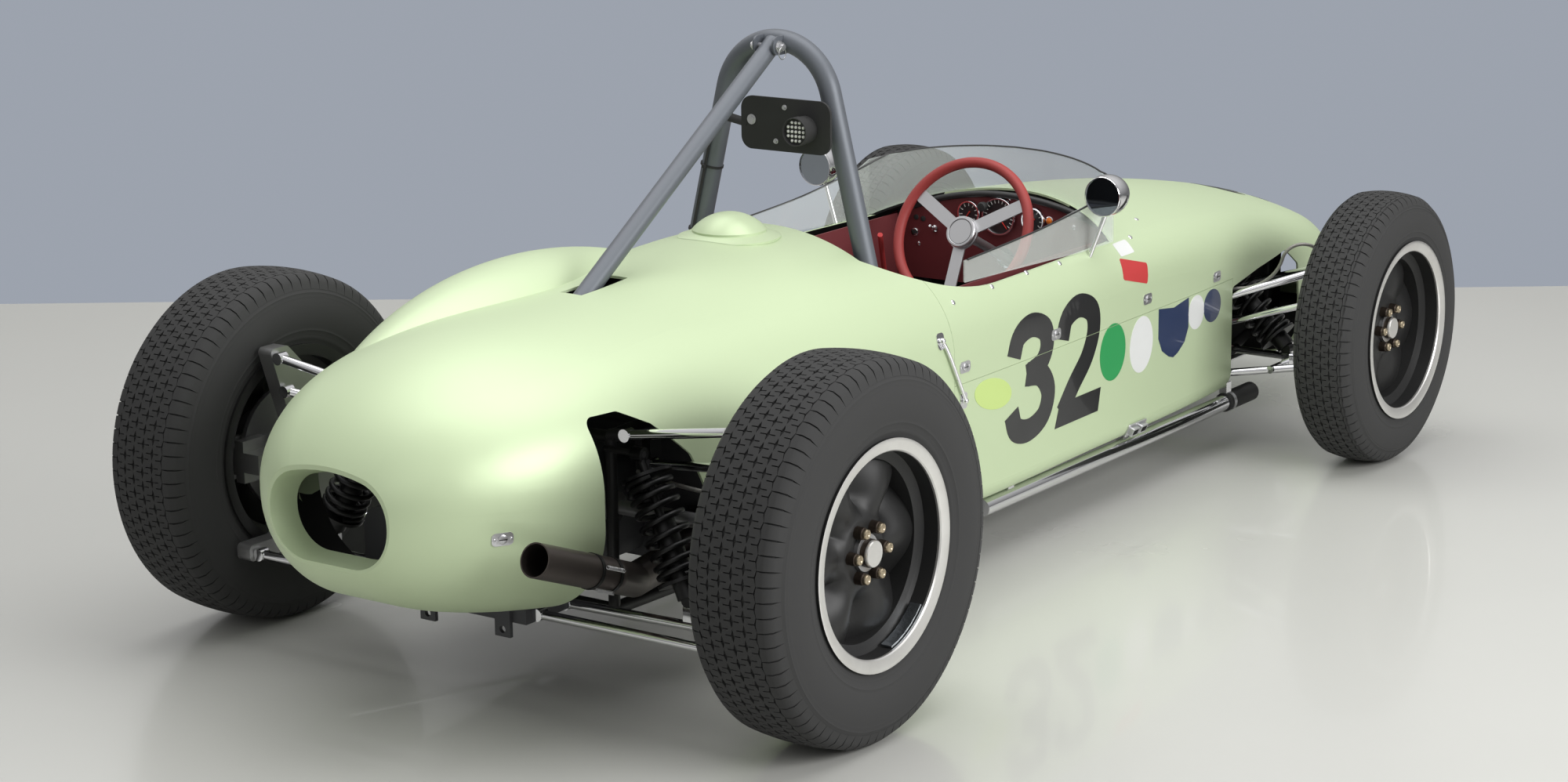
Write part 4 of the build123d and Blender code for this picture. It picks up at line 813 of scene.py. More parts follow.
# Columns: axle x, half track, tyre radius, tyre half width, rim half width, web face, cap face, wave share
AXLES = {
    "rear": (REAR_X, 0.6925, 0.350, 0.100, 0.093, 0.046, 0.068, 1.0),
    "front": (FRONT_X, 0.6575, 0.317, 0.080, 0.082, 0.022, 0.043, 0.4),
}
REAR_TYRE_R = AXLES["rear"][2]
BEAD_R = 0.1905
LIP_R = 0.208
LIP_T = 0.006
# The tread's fall at its edge and at the shoulder, and how far both lie in from the tyre's side
EDGE_FALL = 0.006
SHOULDER_FALL = 0.015
EDGE_IN = 0.026
SHOULDER_IN = 0.015
SEAT_GAP = 0.0003


class Wheel:
    """Everything that places one wheel: its body, centre, outboard direction and sizes."""

    def __init__(self, corner):
        end, side = corner.split("_")
        (x, half_track, self.tyre_r, self.tyre_half, self.rim_half, self.web, self.cap,
         self.wave_share) = AXLES[end]
        outboard = -1 if side == "right" else 1
        self.corner = corner
        self.body = "wheel_" + corner
        self.centre = Vector((x, outboard * half_track, self.tyre_r))
        self.out = Vector((0, outboard, 0))
        self.edge = self.tyre_half - EDGE_IN
        self.shoulder = self.tyre_half - SHOULDER_IN
        self.face = self.rim_half - LIP_T - SEAT_GAP
        self.widest_r = LIP_R + (self.tyre_r - LIP_R) * 0.45

    def radius(self, u):
        """The tyre's outer radius at u across the tread, from its middle."""
        u = abs(u)
        if u <= self.edge:
            return self.tyre_r - EDGE_FALL * (u / self.edge) ** 2
        if u <= self.shoulder:
            share = (u - self.edge) / (self.shoulder - self.edge)
            return self.tyre_r - EDGE_FALL - (SHOULDER_FALL - EDGE_FALL) * share
        return self.tyre_r - SHOULDER_FALL

    def wall(self, t):
        """A point on the sidewall: t runs from the shoulder to the bead."""
        ends = ((self.shoulder, self.tyre_r - SHOULDER_FALL), (self.tyre_half - 0.001, self.widest_r),
                (self.face, LIP_R + 0.002))
        shares = ((1 - t) * (1 - 2 * t), 4 * t * (1 - t), t * (2 * t - 1))
        return tuple(sum(share * end[i] for share, end in zip(shares, ends)) for i in (0, 1))

    def spot(self, u, v, r):
        """A point u across the tyre, v along its tread and r from its axle."""
        turn = v / self.tyre_r
        return r * sin(turn), u, r * cos(turn)

    def ray(self, turn):
        """The direction from the axle at an angle."""
        return Vector((cos(turn), 0, sin(turn)))


RIBS = 5
RIB_SHARE = 0.60
CROWN_STEPS = 12
WALL_STEPS = 40
SUNK_END = 0.16
SHOULDER_BULGE = 0.0022
# Raised rings on the sidewall: place from shoulder to bead, height, half width
WALL_RINGS = ((0.20, 0.0012, 0.012), (0.245, 0.0012, 0.012), (0.80, 0.0012, 0.016), (0.93, 0.0016, 0.02))


class CAR_OT_tyres(bpy.types.Operator):
    """Tyre carcasses with ribbed sidewalls, and tread blocks repeated around them"""
    bl_idname = "car.tyres"
    bl_label = "Tyres"

    def execute(self, context):
        for corner in CORNERS:
            self.carcass(Wheel(corner))
            self.tread(Wheel(corner))
        return {"FINISHED"}

    def carcass(self, wheel):
        depth = sizes().tread
        half = []
        for k in range(CROWN_STEPS + 1):
            u = wheel.shoulder * k / CROWN_STEPS
            half.append((u, wheel.radius(u) - depth))
        for k in range(1, WALL_STEPS + 1):
            t = k / WALL_STEPS
            u, r = wheel.wall(t)
            # Under the shoulder blocks the casing lies deeper, and fades out to the full sidewall.
            sunk = depth * max(0.0, 1 - t / SUNK_END)
            ring = max(height * max(0.0, 1 - abs(t - place) / width) for place, height, width in WALL_RINGS)
            half.append((u - sunk + ring, r - sunk / 2))
        face = wheel.face
        bead = BEAD_R + SEAT_GAP
        half += [(face, bead), (face - 0.026, bead), (face - 0.014, LIP_R + 0.008),
                 (wheel.tyre_half - 0.016, wheel.widest_r), (wheel.tyre_half - 0.032, wheel.tyre_r - 0.026)]
        piece = Piece("tyre")
        profile = [(-u, r) for u, r in reversed(half)] + half[1:]
        piece.lathe(profile, wheel.centre, wheel.out, 120, closed=True)
        piece.done("tyre_casing_" + wheel.corner, wheel.body, replaces=("tyre_" + wheel.corner,), smooth=40)

    def tread(self, wheel):
        count = round(sizes().pitches * wheel.tyre_r / REAR_TYRE_R)
        pitch = 2 * pi / count
        long = pitch * wheel.tyre_r
        blocks = Piece("tyre")
        self.ribs(blocks, wheel, long)
        self.shoulders(blocks, wheel, long)
        middle = Matrix.Translation(wheel.centre)
        places = [middle @ Matrix.Rotation(pitch * k, 4, "Y") for k in range(count)]
        scatter("tyre_tread_" + wheel.corner, blocks, places, wheel.body)

    def ribs(self, blocks, wheel, long):
        """One block of each rib, with a stepped cut to its neighbour and a bent groove beside it."""
        gap = sizes().groove
        depth = sizes().tread
        edge = wheel.tyre_half * RIB_SHARE
        wide = 2 * edge / RIBS
        zig = wide * 0.10
        hook = wide * 0.14
        step = long * 0.42
        for rib in range(RIBS):
            mid = -edge + wide * (rib + 0.5)
            left = mid - wide / 2 + gap / 2
            right = mid + wide / 2 - gap / 2
            lower = [(left + zig, gap / 2), (mid + hook, gap / 2), (mid + hook, gap / 2 - step * 0.45),
                     (mid - hook, gap / 2 - step * 0.55), (mid - hook, gap / 2 - step),
                     (right - zig, gap / 2 - step)]
            upper = [(u, v + long - gap) for u, v in lower]
            ring = lower + [(right + zig * 0.6, long * 0.5 - step)] + upper[::-1]
            ring.append((left - zig * 0.6, long * 0.5))
            if rib % 2 == 0:
                ring = [(2 * mid - u, v) for u, v in reversed(ring)]
            top = [wheel.spot(u, v, wheel.radius(u)) for u, v in ring]
            low = [wheel.spot(u, v, wheel.radius(u) - depth) for u, v in ring]
            n = len(ring)
            faces = [tuple(range(n))] + [(n + i, n + (i + 1) % n, (i + 1) % n, i) for i in range(n)]
            blocks.add(top + low, faces)

    def shoulders(self, blocks, wheel, long):
        """A block that runs over the shoulder and fades out on the sidewall, on each side."""
        gap = sizes().groove
        depth = sizes().tread
        inner = wheel.tyre_half * RIB_SHARE + gap * 0.6
        # Rows: across, radius, width of the cut in groove widths, sunk inward, sunk downward
        across = [(u, wheel.radius(u), cut, 0.0, depth)
                  for u, cut in ((inner, 0.5), (wheel.tyre_half * 0.70, 1.3), (wheel.edge, 1.3),
                                 (wheel.shoulder, 1.6))]
        for t, cut, share in ((0.045, 1.1, 0.8), (0.10, 0.5, 0.4), (0.15, 0.15, 0.05)):
            u, r = wheel.wall(t)
            across.append((u + 0.0002, r, cut, depth * share, depth * share * 0.4))
        last = (len(across) - 1) * 6
        faces = []
        for a in range(0, last, 6):
            b = a + 6
            faces += [(a, a + 1, b + 1, b), (a + 1, a + 2, b + 2, b + 1), (a + 3, a, b, b + 3),
                      (a + 2, a + 5, b + 5, b + 2)]
        faces += [(0, 3, 4, 1), (1, 4, 5, 2), (last, last + 1, last + 4, last + 3),
                  (last + 1, last + 2, last + 5, last + 4)]
        for side in SIDES:
            start = 0.25 * long * (side > 0)
            verts = []
            for i, (u, r, cut, inward, downward) in enumerate(across):
                half_cut = gap * cut / 2
                bulge = 0.0 if i else SHOULDER_BULGE
                along = [start + v for v in (half_cut, long / 2, long - half_cut)]
                verts += [wheel.spot(side * (u - shift), v, r) for v, shift in zip(along, (0.0, bulge, 0.0))]
                verts += [wheel.spot(side * (u - inward), v, r - downward) for v in along]
            blocks.add(verts, faces if side > 0 else [f[::-1] for f in faces])


NUTS = 6
NUT_CIRCLE = 0.0475
NUT_SLEEVE = ((0, 12.2), (2, 11.8), (16, 11.2), (17.5, 10), (17.5, 4))
NUT_END = ((17, 9.6), (22.5, 9.6), (24.5, 8.2), (25, 4.5), (23.8, 3))
WELL_R = 0.170
WELL_INSIDE_R = 0.1645
# The web's face is flat out to this radius, and the petals end at the other
PETALS_START = 0.072
PETALS_END = 0.1655
PETALS_STEPS = 11
WEB_T = 0.009
# The petals' wave: where it starts, over which radius it rises, its depth and how sharp its valleys are
WAVE_START = 0.060
WAVE_RISE = 0.045
WAVE_DEPTH = 1.7
WAVE_SHARP = 0.55
# Foil balance weights: where each starts round its wheel, and how far it runs, in radians
WEIGHT_STARTS = {"rear_right": -1.38, "front_right": 2.4, "rear_left": 0.5, "front_left": -0.6}
WEIGHT_SPAN = 0.62
WEIGHT_STEPS = 10


class CAR_OT_wheels(bpy.types.Operator):
    """Cast wheels with six waves in the web, a machined lip, sleeve nuts and caps"""
    bl_idname = "car.wheels"
    bl_label = "Wheels"

    def execute(self, context):
        for corner in CORNERS:
            self.casting(Wheel(corner))
            self.nuts(Wheel(corner))
        return {"FINISHED"}

    def casting(self, wheel):
        half = wheel.rim_half
        well = half - 0.046
        deep = BEAD_R - 0.0055
        place = (wheel.centre, wheel.out, 96)
        piece = Piece("wheel_black", "machined_lip", "foil")
        outside = [(half, LIP_R), (half - LIP_T, LIP_R), (half - LIP_T - 0.0002, BEAD_R),
                   (half - 0.036, BEAD_R), (well, WELL_R), (-well, WELL_R), (0.036 - half, BEAD_R),
                   (LIP_T - half, BEAD_R), (LIP_T - half, LIP_R), (-half, LIP_R)]
        inside = [(-half, LIP_R - 0.008), (0.004 - half, deep), (0.038 - half, deep),
                  (0.002 - well, WELL_INSIDE_R), (well - 0.002, WELL_INSIDE_R), (half - 0.040, deep - 0.0015),
                  (half - 0.008, deep - 0.001)]
        piece.lathe(outside + inside, *place, closed=True)
        lip = [(half, LIP_R), (half + 0.0006, LIP_R - 0.002), (half + 0.0004, LIP_R - 0.008),
               (half - 0.0035, deep + 0.001), (half - 0.006, deep - 0.0012), (half - 0.010, deep - 0.0012),
               (half - 0.006, LIP_R - 0.006)]
        piece.lathe(lip, *place, slot=1, closed=True)
        # A fine step runs round the barrel between the lip and the web.
        piece.lathe(band(half - 0.047, half - 0.044, deep - 0.0035, deep + 0.001), *place, closed=True)
        self.web(piece, wheel)
        self.weights(piece, wheel, deep)
        piece.done(wheel.body + "_casting", wheel.body, replaces=("rim_" + wheel.corner,), smooth=32)

    def web(self, piece, wheel):
        face = wheel.web
        wave_depth = WAVE_DEPTH * sizes().petal * wheel.wave_share

        def wave(radius, turn):
            """Six petals: flat near the hub, standing out from mid radius to the barrel."""
            rise = min(1.0, max(0.0, (radius - WAVE_START) / WAVE_RISE))
            rise = rise * rise * (3 - 2 * rise)
            petal = 0.5 + 0.5 * cos(NUTS * turn)
            return -wave_depth * rise * (1 - petal ** WAVE_SHARP)

        front_face = [(face, 0.0343), (face + 0.002, 0.040), (face + 0.002, 0.058), (face, 0.064),
                      (face - 0.003, PETALS_START)]
        for k in range(1, PETALS_STEPS + 1):
            share = k / PETALS_STEPS
            along = face - 0.003 + 0.006 * sin(pi * share) - 0.002 * share
            front_face.append((along, PETALS_START + (PETALS_END - PETALS_START) * share))
        back_face = [(along - WEB_T, radius) for along, radius in reversed(front_face)]
        piece.lathe(front_face + back_face, wheel.centre, wheel.out, 144, wave=wave, closed=True)

    def weights(self, piece, wheel, deep):
        """Foil balance weights stuck inside the barrel."""
        verts = []
        for k in range(WEIGHT_STEPS + 1):
            ray = wheel.ray(WEIGHT_STARTS[wheel.corner] + WEIGHT_SPAN * k / WEIGHT_STEPS)
            for inset, radius in ((0.012, deep - 0.0025), (0.034, deep - 0.0030)):
                edge = wheel.centre + wheel.out * (wheel.rim_half - inset)
                verts += [edge + ray * radius, edge + ray * (radius - 0.0035 - 0.0008 * (k % 2))]
        last = WEIGHT_STEPS * 4
        faces = [(0, 1, 3, 2), (last, last + 2, last + 3, last + 1)]
        for a in range(0, last, 4):
            b = a + 4
            faces += [(a, b, b + 1, a + 1), (a + 2, a + 3, b + 3, b + 2), (a + 1, b + 1, b + 3, a + 3),
                      (a, a + 2, b + 2, b)]
        piece.add(verts, faces, 2)

    def nuts(self, wheel):
        seat = wheel.centre + wheel.out * (wheel.web + 0.001)
        places = [facing(seat + wheel.ray(2 * pi * k / NUTS) * NUT_CIRCLE, wheel.out) for k in range(NUTS)]
        sleeve = small_shape("sleeve_brown", NUT_SLEEVE, 20)
        scatter("nut_sleeves_" + wheel.corner, sleeve, places, wheel.body)
        scatter("nut_ends_" + wheel.corner, small_shape("nut_brass", NUT_END, 12), places, wheel.body)
        cap = wheel.cap
        hat = Piece("machined_lip", "sleeve_brown")
        hat.lathe([(wheel.web + 0.003, 0.0258), (cap - 0.006, 0.0256), (cap - 0.006, 0.0246),
                   (cap - 0.003, 0.0246)], wheel.centre, wheel.out, slot=1)
        hat.lathe([(cap - 0.004, 0.0250), (cap + 0.0005, 0.0244), (cap + 0.0022, 0.0232),
                   (cap + 0.0026, 0.019), (cap + 0.0022, 0.004)], wheel.centre, wheel.out)
        hat.done("hub_cap_" + wheel.corner, wheel.body, smooth=30)


# Spring ends. Columns: axle, top eye, low eye, turns
SPRINGS = (
    (rear, (-70, 302, 480), (-95, 430, 235), 9),
    (front, (4, 236, 424), (4, 430, 236), 8),
)
COIL_R = 0.0410
COIL_TOP = 0.0475
COIL_FOOT = 0.0435
COIL_STEPS = 16
END_CLOSER = 0.35


class CAR_OT_springs(bpy.types.Operator):
    """Coil springs wound round the dampers"""
    bl_idname = "car.springs"
    bl_label = "Springs"

    def execute(self, context):
        piece = Piece("spring_black")
        wire = sizes().spring_wire
        for place, top, low, turns in SPRINGS:
            for side in SIDES:
                high = place(top[0], side * top[1], top[2])
                foot = place(low[0], side * low[1], low[2])
                down = (foot - high).normalized()
                start = high + down * COIL_TOP
                span = foot - down * COIL_FOOT - start
                across = down.orthogonal().normalized()
                other = down.cross(across)
                points = []
                steps = turns * COIL_STEPS
                for k in range(steps + 1):
                    t = k / steps
                    # The end coils lie closer together.
                    along = t - sin(2 * pi * t) / (2 * pi) * END_CLOSER
                    turn = 2 * pi * turns * t
                    ray = across * cos(turn) + other * sin(turn)
                    points.append(start + span * along + ray * (COIL_R - wire * 0.2))
                piece.tube(points, wire, 8)
        piece.done("spring_coils", replaces=("springs",), smooth=60, merge=0)
        return {"FINISHED"}


# Race number strokes in metres, drawn in a box of their own
THREE_TOP = ((0.030, 0.222), (0.050, 0.268), (0.105, 0.285), (0.158, 0.264), (0.170, 0.222), (0.146, 0.184),
             (0.088, 0.166))
THREE_LOW = ((0.086, 0.170), (0.148, 0.156), (0.182, 0.108), (0.164, 0.054), (0.106, 0.031), (0.050, 0.044),
             (0.028, 0.088))
TWO_STEM = ((0.032, 0.216), (0.050, 0.265), (0.106, 0.285), (0.160, 0.262), (0.172, 0.212), (0.146, 0.150),
            (0.090, 0.092), (0.042, 0.034))
TWO_BASE = ((0.012, 0.0), (0.205, 0.0), (0.215, 0.058), (0.030, 0.058))
# Each outline with the place of its digit
DIGIT_STROKE = 0.058
STROKES = (*((stroke(line, DIGIT_STROKE), digit) for line, digit in
            ((THREE_TOP, 0), (THREE_LOW, 0), (TWO_STEM, 1))), (TWO_BASE, 1))
DIGIT_STEP = 0.205
DIGIT_LEAN = 0.05
NUMBER_WIDE = DIGIT_STEP + 0.215
NUMBER_SQUASH = 0.88
NUMBER_RISE = 0.004
NUMBER_PLACE = (1068, 240)
NOSE_NUMBER_PLACE = (2790, 0, 900)
NOSE_NUMBER_SCALE = 0.235 / 0.317
NUMBER_SHEETS = (0.0006, 0.0008)
# Bare labels: finish, middle along and up from the rear axle, width, height, tilt
LABELS = (
    ("decal_green", 1545, 363, 118, 128, -11), ("decal_white", 1680, 354, 110, 128, -9),
    ("decal_white", 1953, 377, 82, 80, -8), ("decal_navy", 2038, 377, 92, 78, -6),
    ("decal_faint", 1026, 376, 150, 66, -12),
)
SHIELD_PLACE = (1838, 356)
SHIELD_HALF = 0.075
SHIELD_TALL = 0.126
# In half widths and heights
SHIELD = ((0, 0.42), (1, 0.5), (1, -0.05), (0.75, -0.30), (0.3, -0.45), (0, -0.5), (-0.3, -0.45),
          (-0.75, -0.30), (-1, -0.05), (-1, 0.5))
SMALL_LABEL_PLACE = (1652, 574)
SLANTED_LABEL_PLACE = (1656, 524)
SLANTED_LABEL_TILT = -14


class CAR_OT_marks(bpy.types.Operator):
    """Race numbers and bare labels laid on the body"""
    bl_idname = "car.marks"
    bl_label = "Numbers and labels"

    def execute(self, context):
        skin = Skin(*BODY_SKIN)
        x, z = NUMBER_PLACE
        for side in SIDES:
            origin, across, upward, way = side_plane(x + 500 * NUMBER_WIDE, z, side)
            plane = (origin - across * NUMBER_WIDE / 2, across, upward, way)
            self.number("race_number_" + side_name(side), skin, plane, rise=NUMBER_RISE, squash=NUMBER_SQUASH,
                        gaps=(SPLIT_Z - z / 1000,))
            if side < 0:
                self.labels(skin)
        plane = (rear(*NOSE_NUMBER_PLACE), Vector((0, 1, 0)), BACK, -UP)
        scale = NOSE_NUMBER_SCALE
        self.number("race_number_nose", skin, plane, scale, left=-scale * NUMBER_WIDE / 2)
        return {"FINISHED"}

    def number(self, name, skin, plane, scale=1.0, left=0.0, rise=0.0, squash=1.0, gaps=()):
        """Two leaned digits; strokes that cross lie at different heights."""
        piece = Piece("decal_black")
        for k, (outline, digit) in enumerate(STROKES):
            start = digit * DIGIT_STEP * scale + left
            leaned = [(start + scale * (u + DIGIT_LEAN * v), rise * digit + scale * squash * v)
                      for u, v in outline]
            lay(piece, leaned, skin, plane, gaps=gaps, thick=NUMBER_SHEETS[k % 2])
        piece.done(name, merge=0)

    def labels(self, skin):
        """Bare coloured shapes in a row on the right side."""
        def put(piece, outline, x, z, slot=0):
            lay(piece, outline, skin, side_plane(x, z, -1), slot, gaps=(SPLIT_Z - z / 1000,))

        for k, (paint, x, z, width, height, tilt) in enumerate(LABELS):
            bare = Piece(paint)
            put(bare, tilted(oval(width, height), tilt), x, z)
            bare.done(f"label_{k}_right", merge=0)
        shield = Piece("decal_navy")
        put(shield, [(a * SHIELD_HALF, b * SHIELD_TALL) for a, b in SHIELD], *SHIELD_PLACE)
        shield.done("label_shield_right", merge=0)
        strips = Piece("decal_white", "lever_red")
        put(strips, rounded(66, 26, 4), *SMALL_LABEL_PLACE)
        put(strips, tilted(rounded(112, 46, 6), SLANTED_LABEL_TILT), *SLANTED_LABEL_PLACE, slot=1)
        strips.done("label_strips_right", merge=0)


# Panel fasteners on both sides, from the rear axle: along and up
QUARTER_TURNS = ((915, 455), (1288, 452), (1707, 453), (2060, 442), (-418, 402))
PANEL_SCREWS = ((921, 584), (1081, 588), (1231, 591), (1372, 594), (1715, 587), (1833, 604))
SOCKET_PLACE = (1664, 166)
RIVET = ((0.5, 2.8), (1.8, 2.6), (2.4, 1.6), (2.6, 0.4))
TURN_HEAD = ((0.8, 8.8), (2.8, 8.6), (3.8, 7), (4, 0.4))
SCREW_HEAD = ((-0.5, 6.2), (0.8, 6), (2, 4.8), (2.6, 2.2), (2.7, 0.3))
# The coolant hoses' ends, from the front axle
HOSE_START = (-150, 342, 122)
HOSE_END = (-11, 342, 122)
EXHAUST_BEND = (-250, -374, 311)
EXHAUST_TIP = (-455, -374, 390)
# Coil springs between the exhaust's bands: turns, points, start, length, middle, radius and wire
CLIP_COILS = 12
CLIP_STEPS = 96
CLIP_START = 0.010
CLIP_LONG = 0.050
CLIP_OUT = 0.0362
CLIP_R = 0.0032
CLIP_WIRE = 0.0008
CLIP_ANGLES = (20, -55)
# The hook over the tail cowl's edge, from the rear axle: along and up, and how far it runs
HOOK_PLACE = (831, 522)
HOOK_RUN = (78, -136)
HOOK_STEPS = 8
HOOK_LIFT = 0.0062
HOOK_R = 0.0038


class CAR_OT_fasteners(bpy.types.Operator):
    """Quarter-turn plates, screws, the hook strap and the socket on the body"""
    bl_idname = "car.fasteners"
    bl_label = "Panel fasteners"

    def execute(self, context):
        skin = Skin(*BODY_SKIN)
        plates = [skin.side(side, x, z) for side in SIDES for x, z in QUARTER_TURNS]
        screws = [skin.side(side, x, z) for side in SIDES for x, z in PANEL_SCREWS]
        plate = Piece("bare_alloy")
        plate.plate(rounded(40, 24, 8), 0.0012, Matrix.Identity(4))
        for across in (-0.0155, 0.0155):
            plate.turned(RIVET, (across, 0, 0), UP, 10)
        scatter("quarter_turn_plates", plate, plates)
        scatter("quarter_turn_heads", small_shape("bare_alloy", TURN_HEAD, 20), plates)
        # Painted shade: a near-black bar on each head stands for its slot
        cut = Piece("inside_dark")
        cut.block((-7.5, -0.8, 3.6), (7.5, 0.8, 4.3))
        scatter("quarter_turn_slots", cut, plates)
        scatter("sill_screws", small_shape("chrome", SCREW_HEAD, 18), screws)
        self.strap(skin)
        self.socket(skin)
        self.hoses()
        self.exhaust_clips()
        return {"FINISHED"}

    def strap(self, skin):
        """A spring hook that holds the tail cowl down, on each side."""
        hook = Piece("chrome")
        for side in SIDES:
            points = []
            for k in range(HOOK_STEPS + 1):
                x, z = (start + run * k / HOOK_STEPS for start, run in zip(HOOK_PLACE, HOOK_RUN))
                spot, normal = skin.at(rear(x, side * BESIDE, z), (0, -side, 0))
                points.append(spot + normal * HOOK_LIFT)
            hook.tube(smooth_line(points, 3), HOOK_R)
            for end in (points[0], points[-1]):
                spot, normal = skin.at(Vector((end.x, side * BESIDE / 1000, end.z)), (0, -side, 0))
                hook.plate(rounded(26, 34, 7), 0.0022, facing(spot - normal * 0.0004, normal))
                hook.ball(spot + normal * 0.0055, 0.0068)
        hook.done("cowl_hooks")

    def socket(self, skin):
        """The twin socket low on the right side panel."""
        place = skin.side(-1, *SOCKET_PLACE)
        piece = Piece("bare_alloy", "inside_dark")
        piece.plate(rounded(82, 31, 5), 0.004, place)
        for across in (-0.019, 0.019):
            at = place @ Matrix.Translation((across, 0, 0.0035))
            piece.plate(rounded(30, 21, 4), 0.011, at)
            # Painted shade: a thin near-black sheet on each socket's face stands for its holes
            piece.plate(rounded(22, 13, 3), 0.0004, at @ Matrix.Translation((0, 0, 0.0110)), 1)
        piece.done("side_socket", bevel=0.0006, merge=0)

    def hoses(self):
        """Rubber hoses with a clip on the coolant pipes' front ends."""
        rubber = Piece("hose_rubber", "bare_alloy")
        for side in SIDES:
            start, end = (front(x, side * y, z) for x, y, z in (HOSE_START, HOSE_END))
            rubber.turned(band(0, 139, 19.3, 22.8), start, end - start, 28, closed=True)
            rubber.turned(band(14, 26, 22.6, 23.8), start, end - start, 28, slot=1, closed=True)
        rubber.done("coolant_hoses", merge=0)

    def exhaust_clips(self):
        """Two bands round the exhaust's end and two coil springs between them."""
        clips = Piece("hub_steel", "spring_black")
        bend = rear(*EXHAUST_BEND)
        along = (rear(*EXHAUST_TIP) - bend).normalized()
        for reach in (4, 58):
            clips.turned(band(reach, reach + 8, 31.3, 32.6), bend, along, 36, slot=1, closed=True)
        side = Vector((0, -1, 0))
        drop = along.cross(side).normalized()
        for angle in CLIP_ANGLES:
            ray = side * cos(radians(angle)) + drop * sin(radians(angle))
            edge = ray.cross(along)
            points = []
            for k in range(CLIP_STEPS + 1):
                t = k / CLIP_STEPS
                spin = 2 * pi * CLIP_COILS * t
                points.append(bend + along * (CLIP_START + CLIP_LONG * t)
                              + ray * (CLIP_OUT + CLIP_R * cos(spin)) + edge * CLIP_R * sin(spin))
            clips.tube(points, CLIP_WIRE, 6)
        clips.done("exhaust_clips", merge=0)


# Instruments on the dashboard, in millimetres: across, up, radius, needle angle in degrees, ticks
DASH_FACE = 1691
PLATE_FACE = 1698
GAUGES = ((93, 606, 28, 215, 9), (13, 606, 42, 140, 17), (-78, 606, 28, 235, 9))
DASH_SCREWS = ((153, 637), (-12, 650), (-181, 599), (235, 520), (-235, 520))
DASH_SCREW = ((-0.5, 5.2), (1, 5), (2.2, 3.6), (2.6, 0.4))
SWITCH = ((-1, 6.2), (2, 6.2), (3, 4), (3, 1))
# Turned controls: across, up, segments, slot, profile
CONTROLS = (
    (50, 627, 22, 0, ((0, 6), (10, 5), (12, 10.5), (22, 11.5), (26, 9), (27, 1))),
    (244, 547, 22, 1, ((-1, 9.5), (3, 9.5), (4, 7.5), (1.5, 6.5), (1.5, 1))),
    (244, 547, 18, 0, ((-1, 5.5), (5, 5), (5.5, 1))),
    (241, 582, 18, 0, SWITCH),
    (222, 580, 18, 0, SWITCH),
    (190, 560, 18, 1, ((-1, 8.5), (3, 8.5), (6, 4.5), (10, 4))),
    (-118, 608, 22, 1, ((-1, 10), (3, 10), (4, 8.6))),
    (-118, 608, 22, 2, ((2, 8.4), (6, 7.2), (8.5, 4), (9, 0.5))),
)
TOGGLE_PLACE = (190, 560)
DASH_HALF = 0.285
EDGE_STEPS = 24


class CAR_OT_dashboard(bpy.types.Operator):
    """Gauges with ticks and needles, switches, a lamp and the rolled top edge"""
    bl_idname = "car.dashboard"
    bl_label = "Dashboard"

    def execute(self, context):
        self.gauges()
        self.switches()
        self.edge()
        return {"FINISHED"}

    def gauges(self):
        dials = Piece("gauge_face", "chrome", "needle_red")
        ticks = []

        def spoke(turn):
            return Vector((0, -sin(radians(turn)), cos(radians(turn))))

        for y, z, r, angle, count in GAUGES:
            centre = rear(DASH_FACE, y, z)
            dials.turned([(0.2, r - 3), (0.6, 1)], centre, BACK, 44)
            dials.turned([(-4, r + 2.2), (2.4, r + 2.2), (4.4, r + 0.8), (4.2, r - 2.2), (0.8, r - 3.6),
                          (-4, r - 3.6)], centre, BACK, 44, slot=1, closed=True)
            r /= 1000
            needle = centre + BACK * 0.0022
            dials.rod(needle - spoke(angle) * r * 0.2, needle + spoke(angle) * (r - 0.007), 0.0018, 8, slot=2,
                      tip=0.0008)
            dials.rod(centre + BACK * 0.0008, centre + BACK * 0.0032, 0.0032, 14)
            for k in range(count):
                ray = spoke(-130 + 260 * k / (count - 1))
                ticks.append(facing(centre + BACK * 0.0008 + ray * (r - 0.0075), BACK, ray))
        dials.done("gauges", merge=0)
        tick = Piece("mark_white")
        tick.block((-1, -3.4, 0), (1, 3.4, 0.3))
        scatter("gauge_ticks", tick, ticks)

    def switches(self):
        parts = Piece("lamp_black", "chrome", "lamp_orange")
        for y, z, segments, slot, profile in CONTROLS:
            parts.turned(profile, rear(PLATE_FACE, y, z), BACK, segments, slot)
        base = rear(PLATE_FACE, *TOGGLE_PLACE)
        parts.rod(base + BACK * 0.008, base + BACK * 0.022 + UP * 0.010, 0.0022, 10, slot=1, tip=0.0032)
        parts.done("dash_switches", merge=0)
        spots = [facing(rear(PLATE_FACE, y, z), BACK) for y, z in DASH_SCREWS]
        scatter("dash_screws", small_shape("chrome", DASH_SCREW, 16), spots)

    def edge(self):
        """A black rolled edge on top of the dashboard."""
        plate = Skin("dashboard")
        above = rear(1700, 0, 1000)
        points = []
        for k in range(EDGE_STEPS + 1):
            across = Vector((0, 2 * DASH_HALF * k / EDGE_STEPS - DASH_HALF, 0))
            points.append(plate.at(above + across, -UP)[0] + Vector((-0.004, 0, -0.006)))
        roll = Piece("trim_black")
        roll.tube(points, 0.0075, 12)
        roll.done("dash_edge")


# Turned fittings
MIRROR_GLASS = ((0.2, 40.5), (0.9, 40.5), (1, 1))
MIRROR_RIM = ((-6, 43.6), (2.2, 43.6), (3.4, 42.5), (3, 40.8), (0.4, 40.2), (-6, 40.2))
LAMP_DOT = ((-0.8, 3.1), (1, 2.9), (2, 1.8), (2.3, 0.3))
LAMP_BEZEL = ((-12, 29.2), (6, 29.2), (7, 28), (6, 26.6), (0.4, 26.2), (-12, 26.2))
BOSS = ((0.1, 36.5), (10, 36.5), (12.5, 34.5), (12.8, 30), (11.8, 28.8), (11.8, 1))
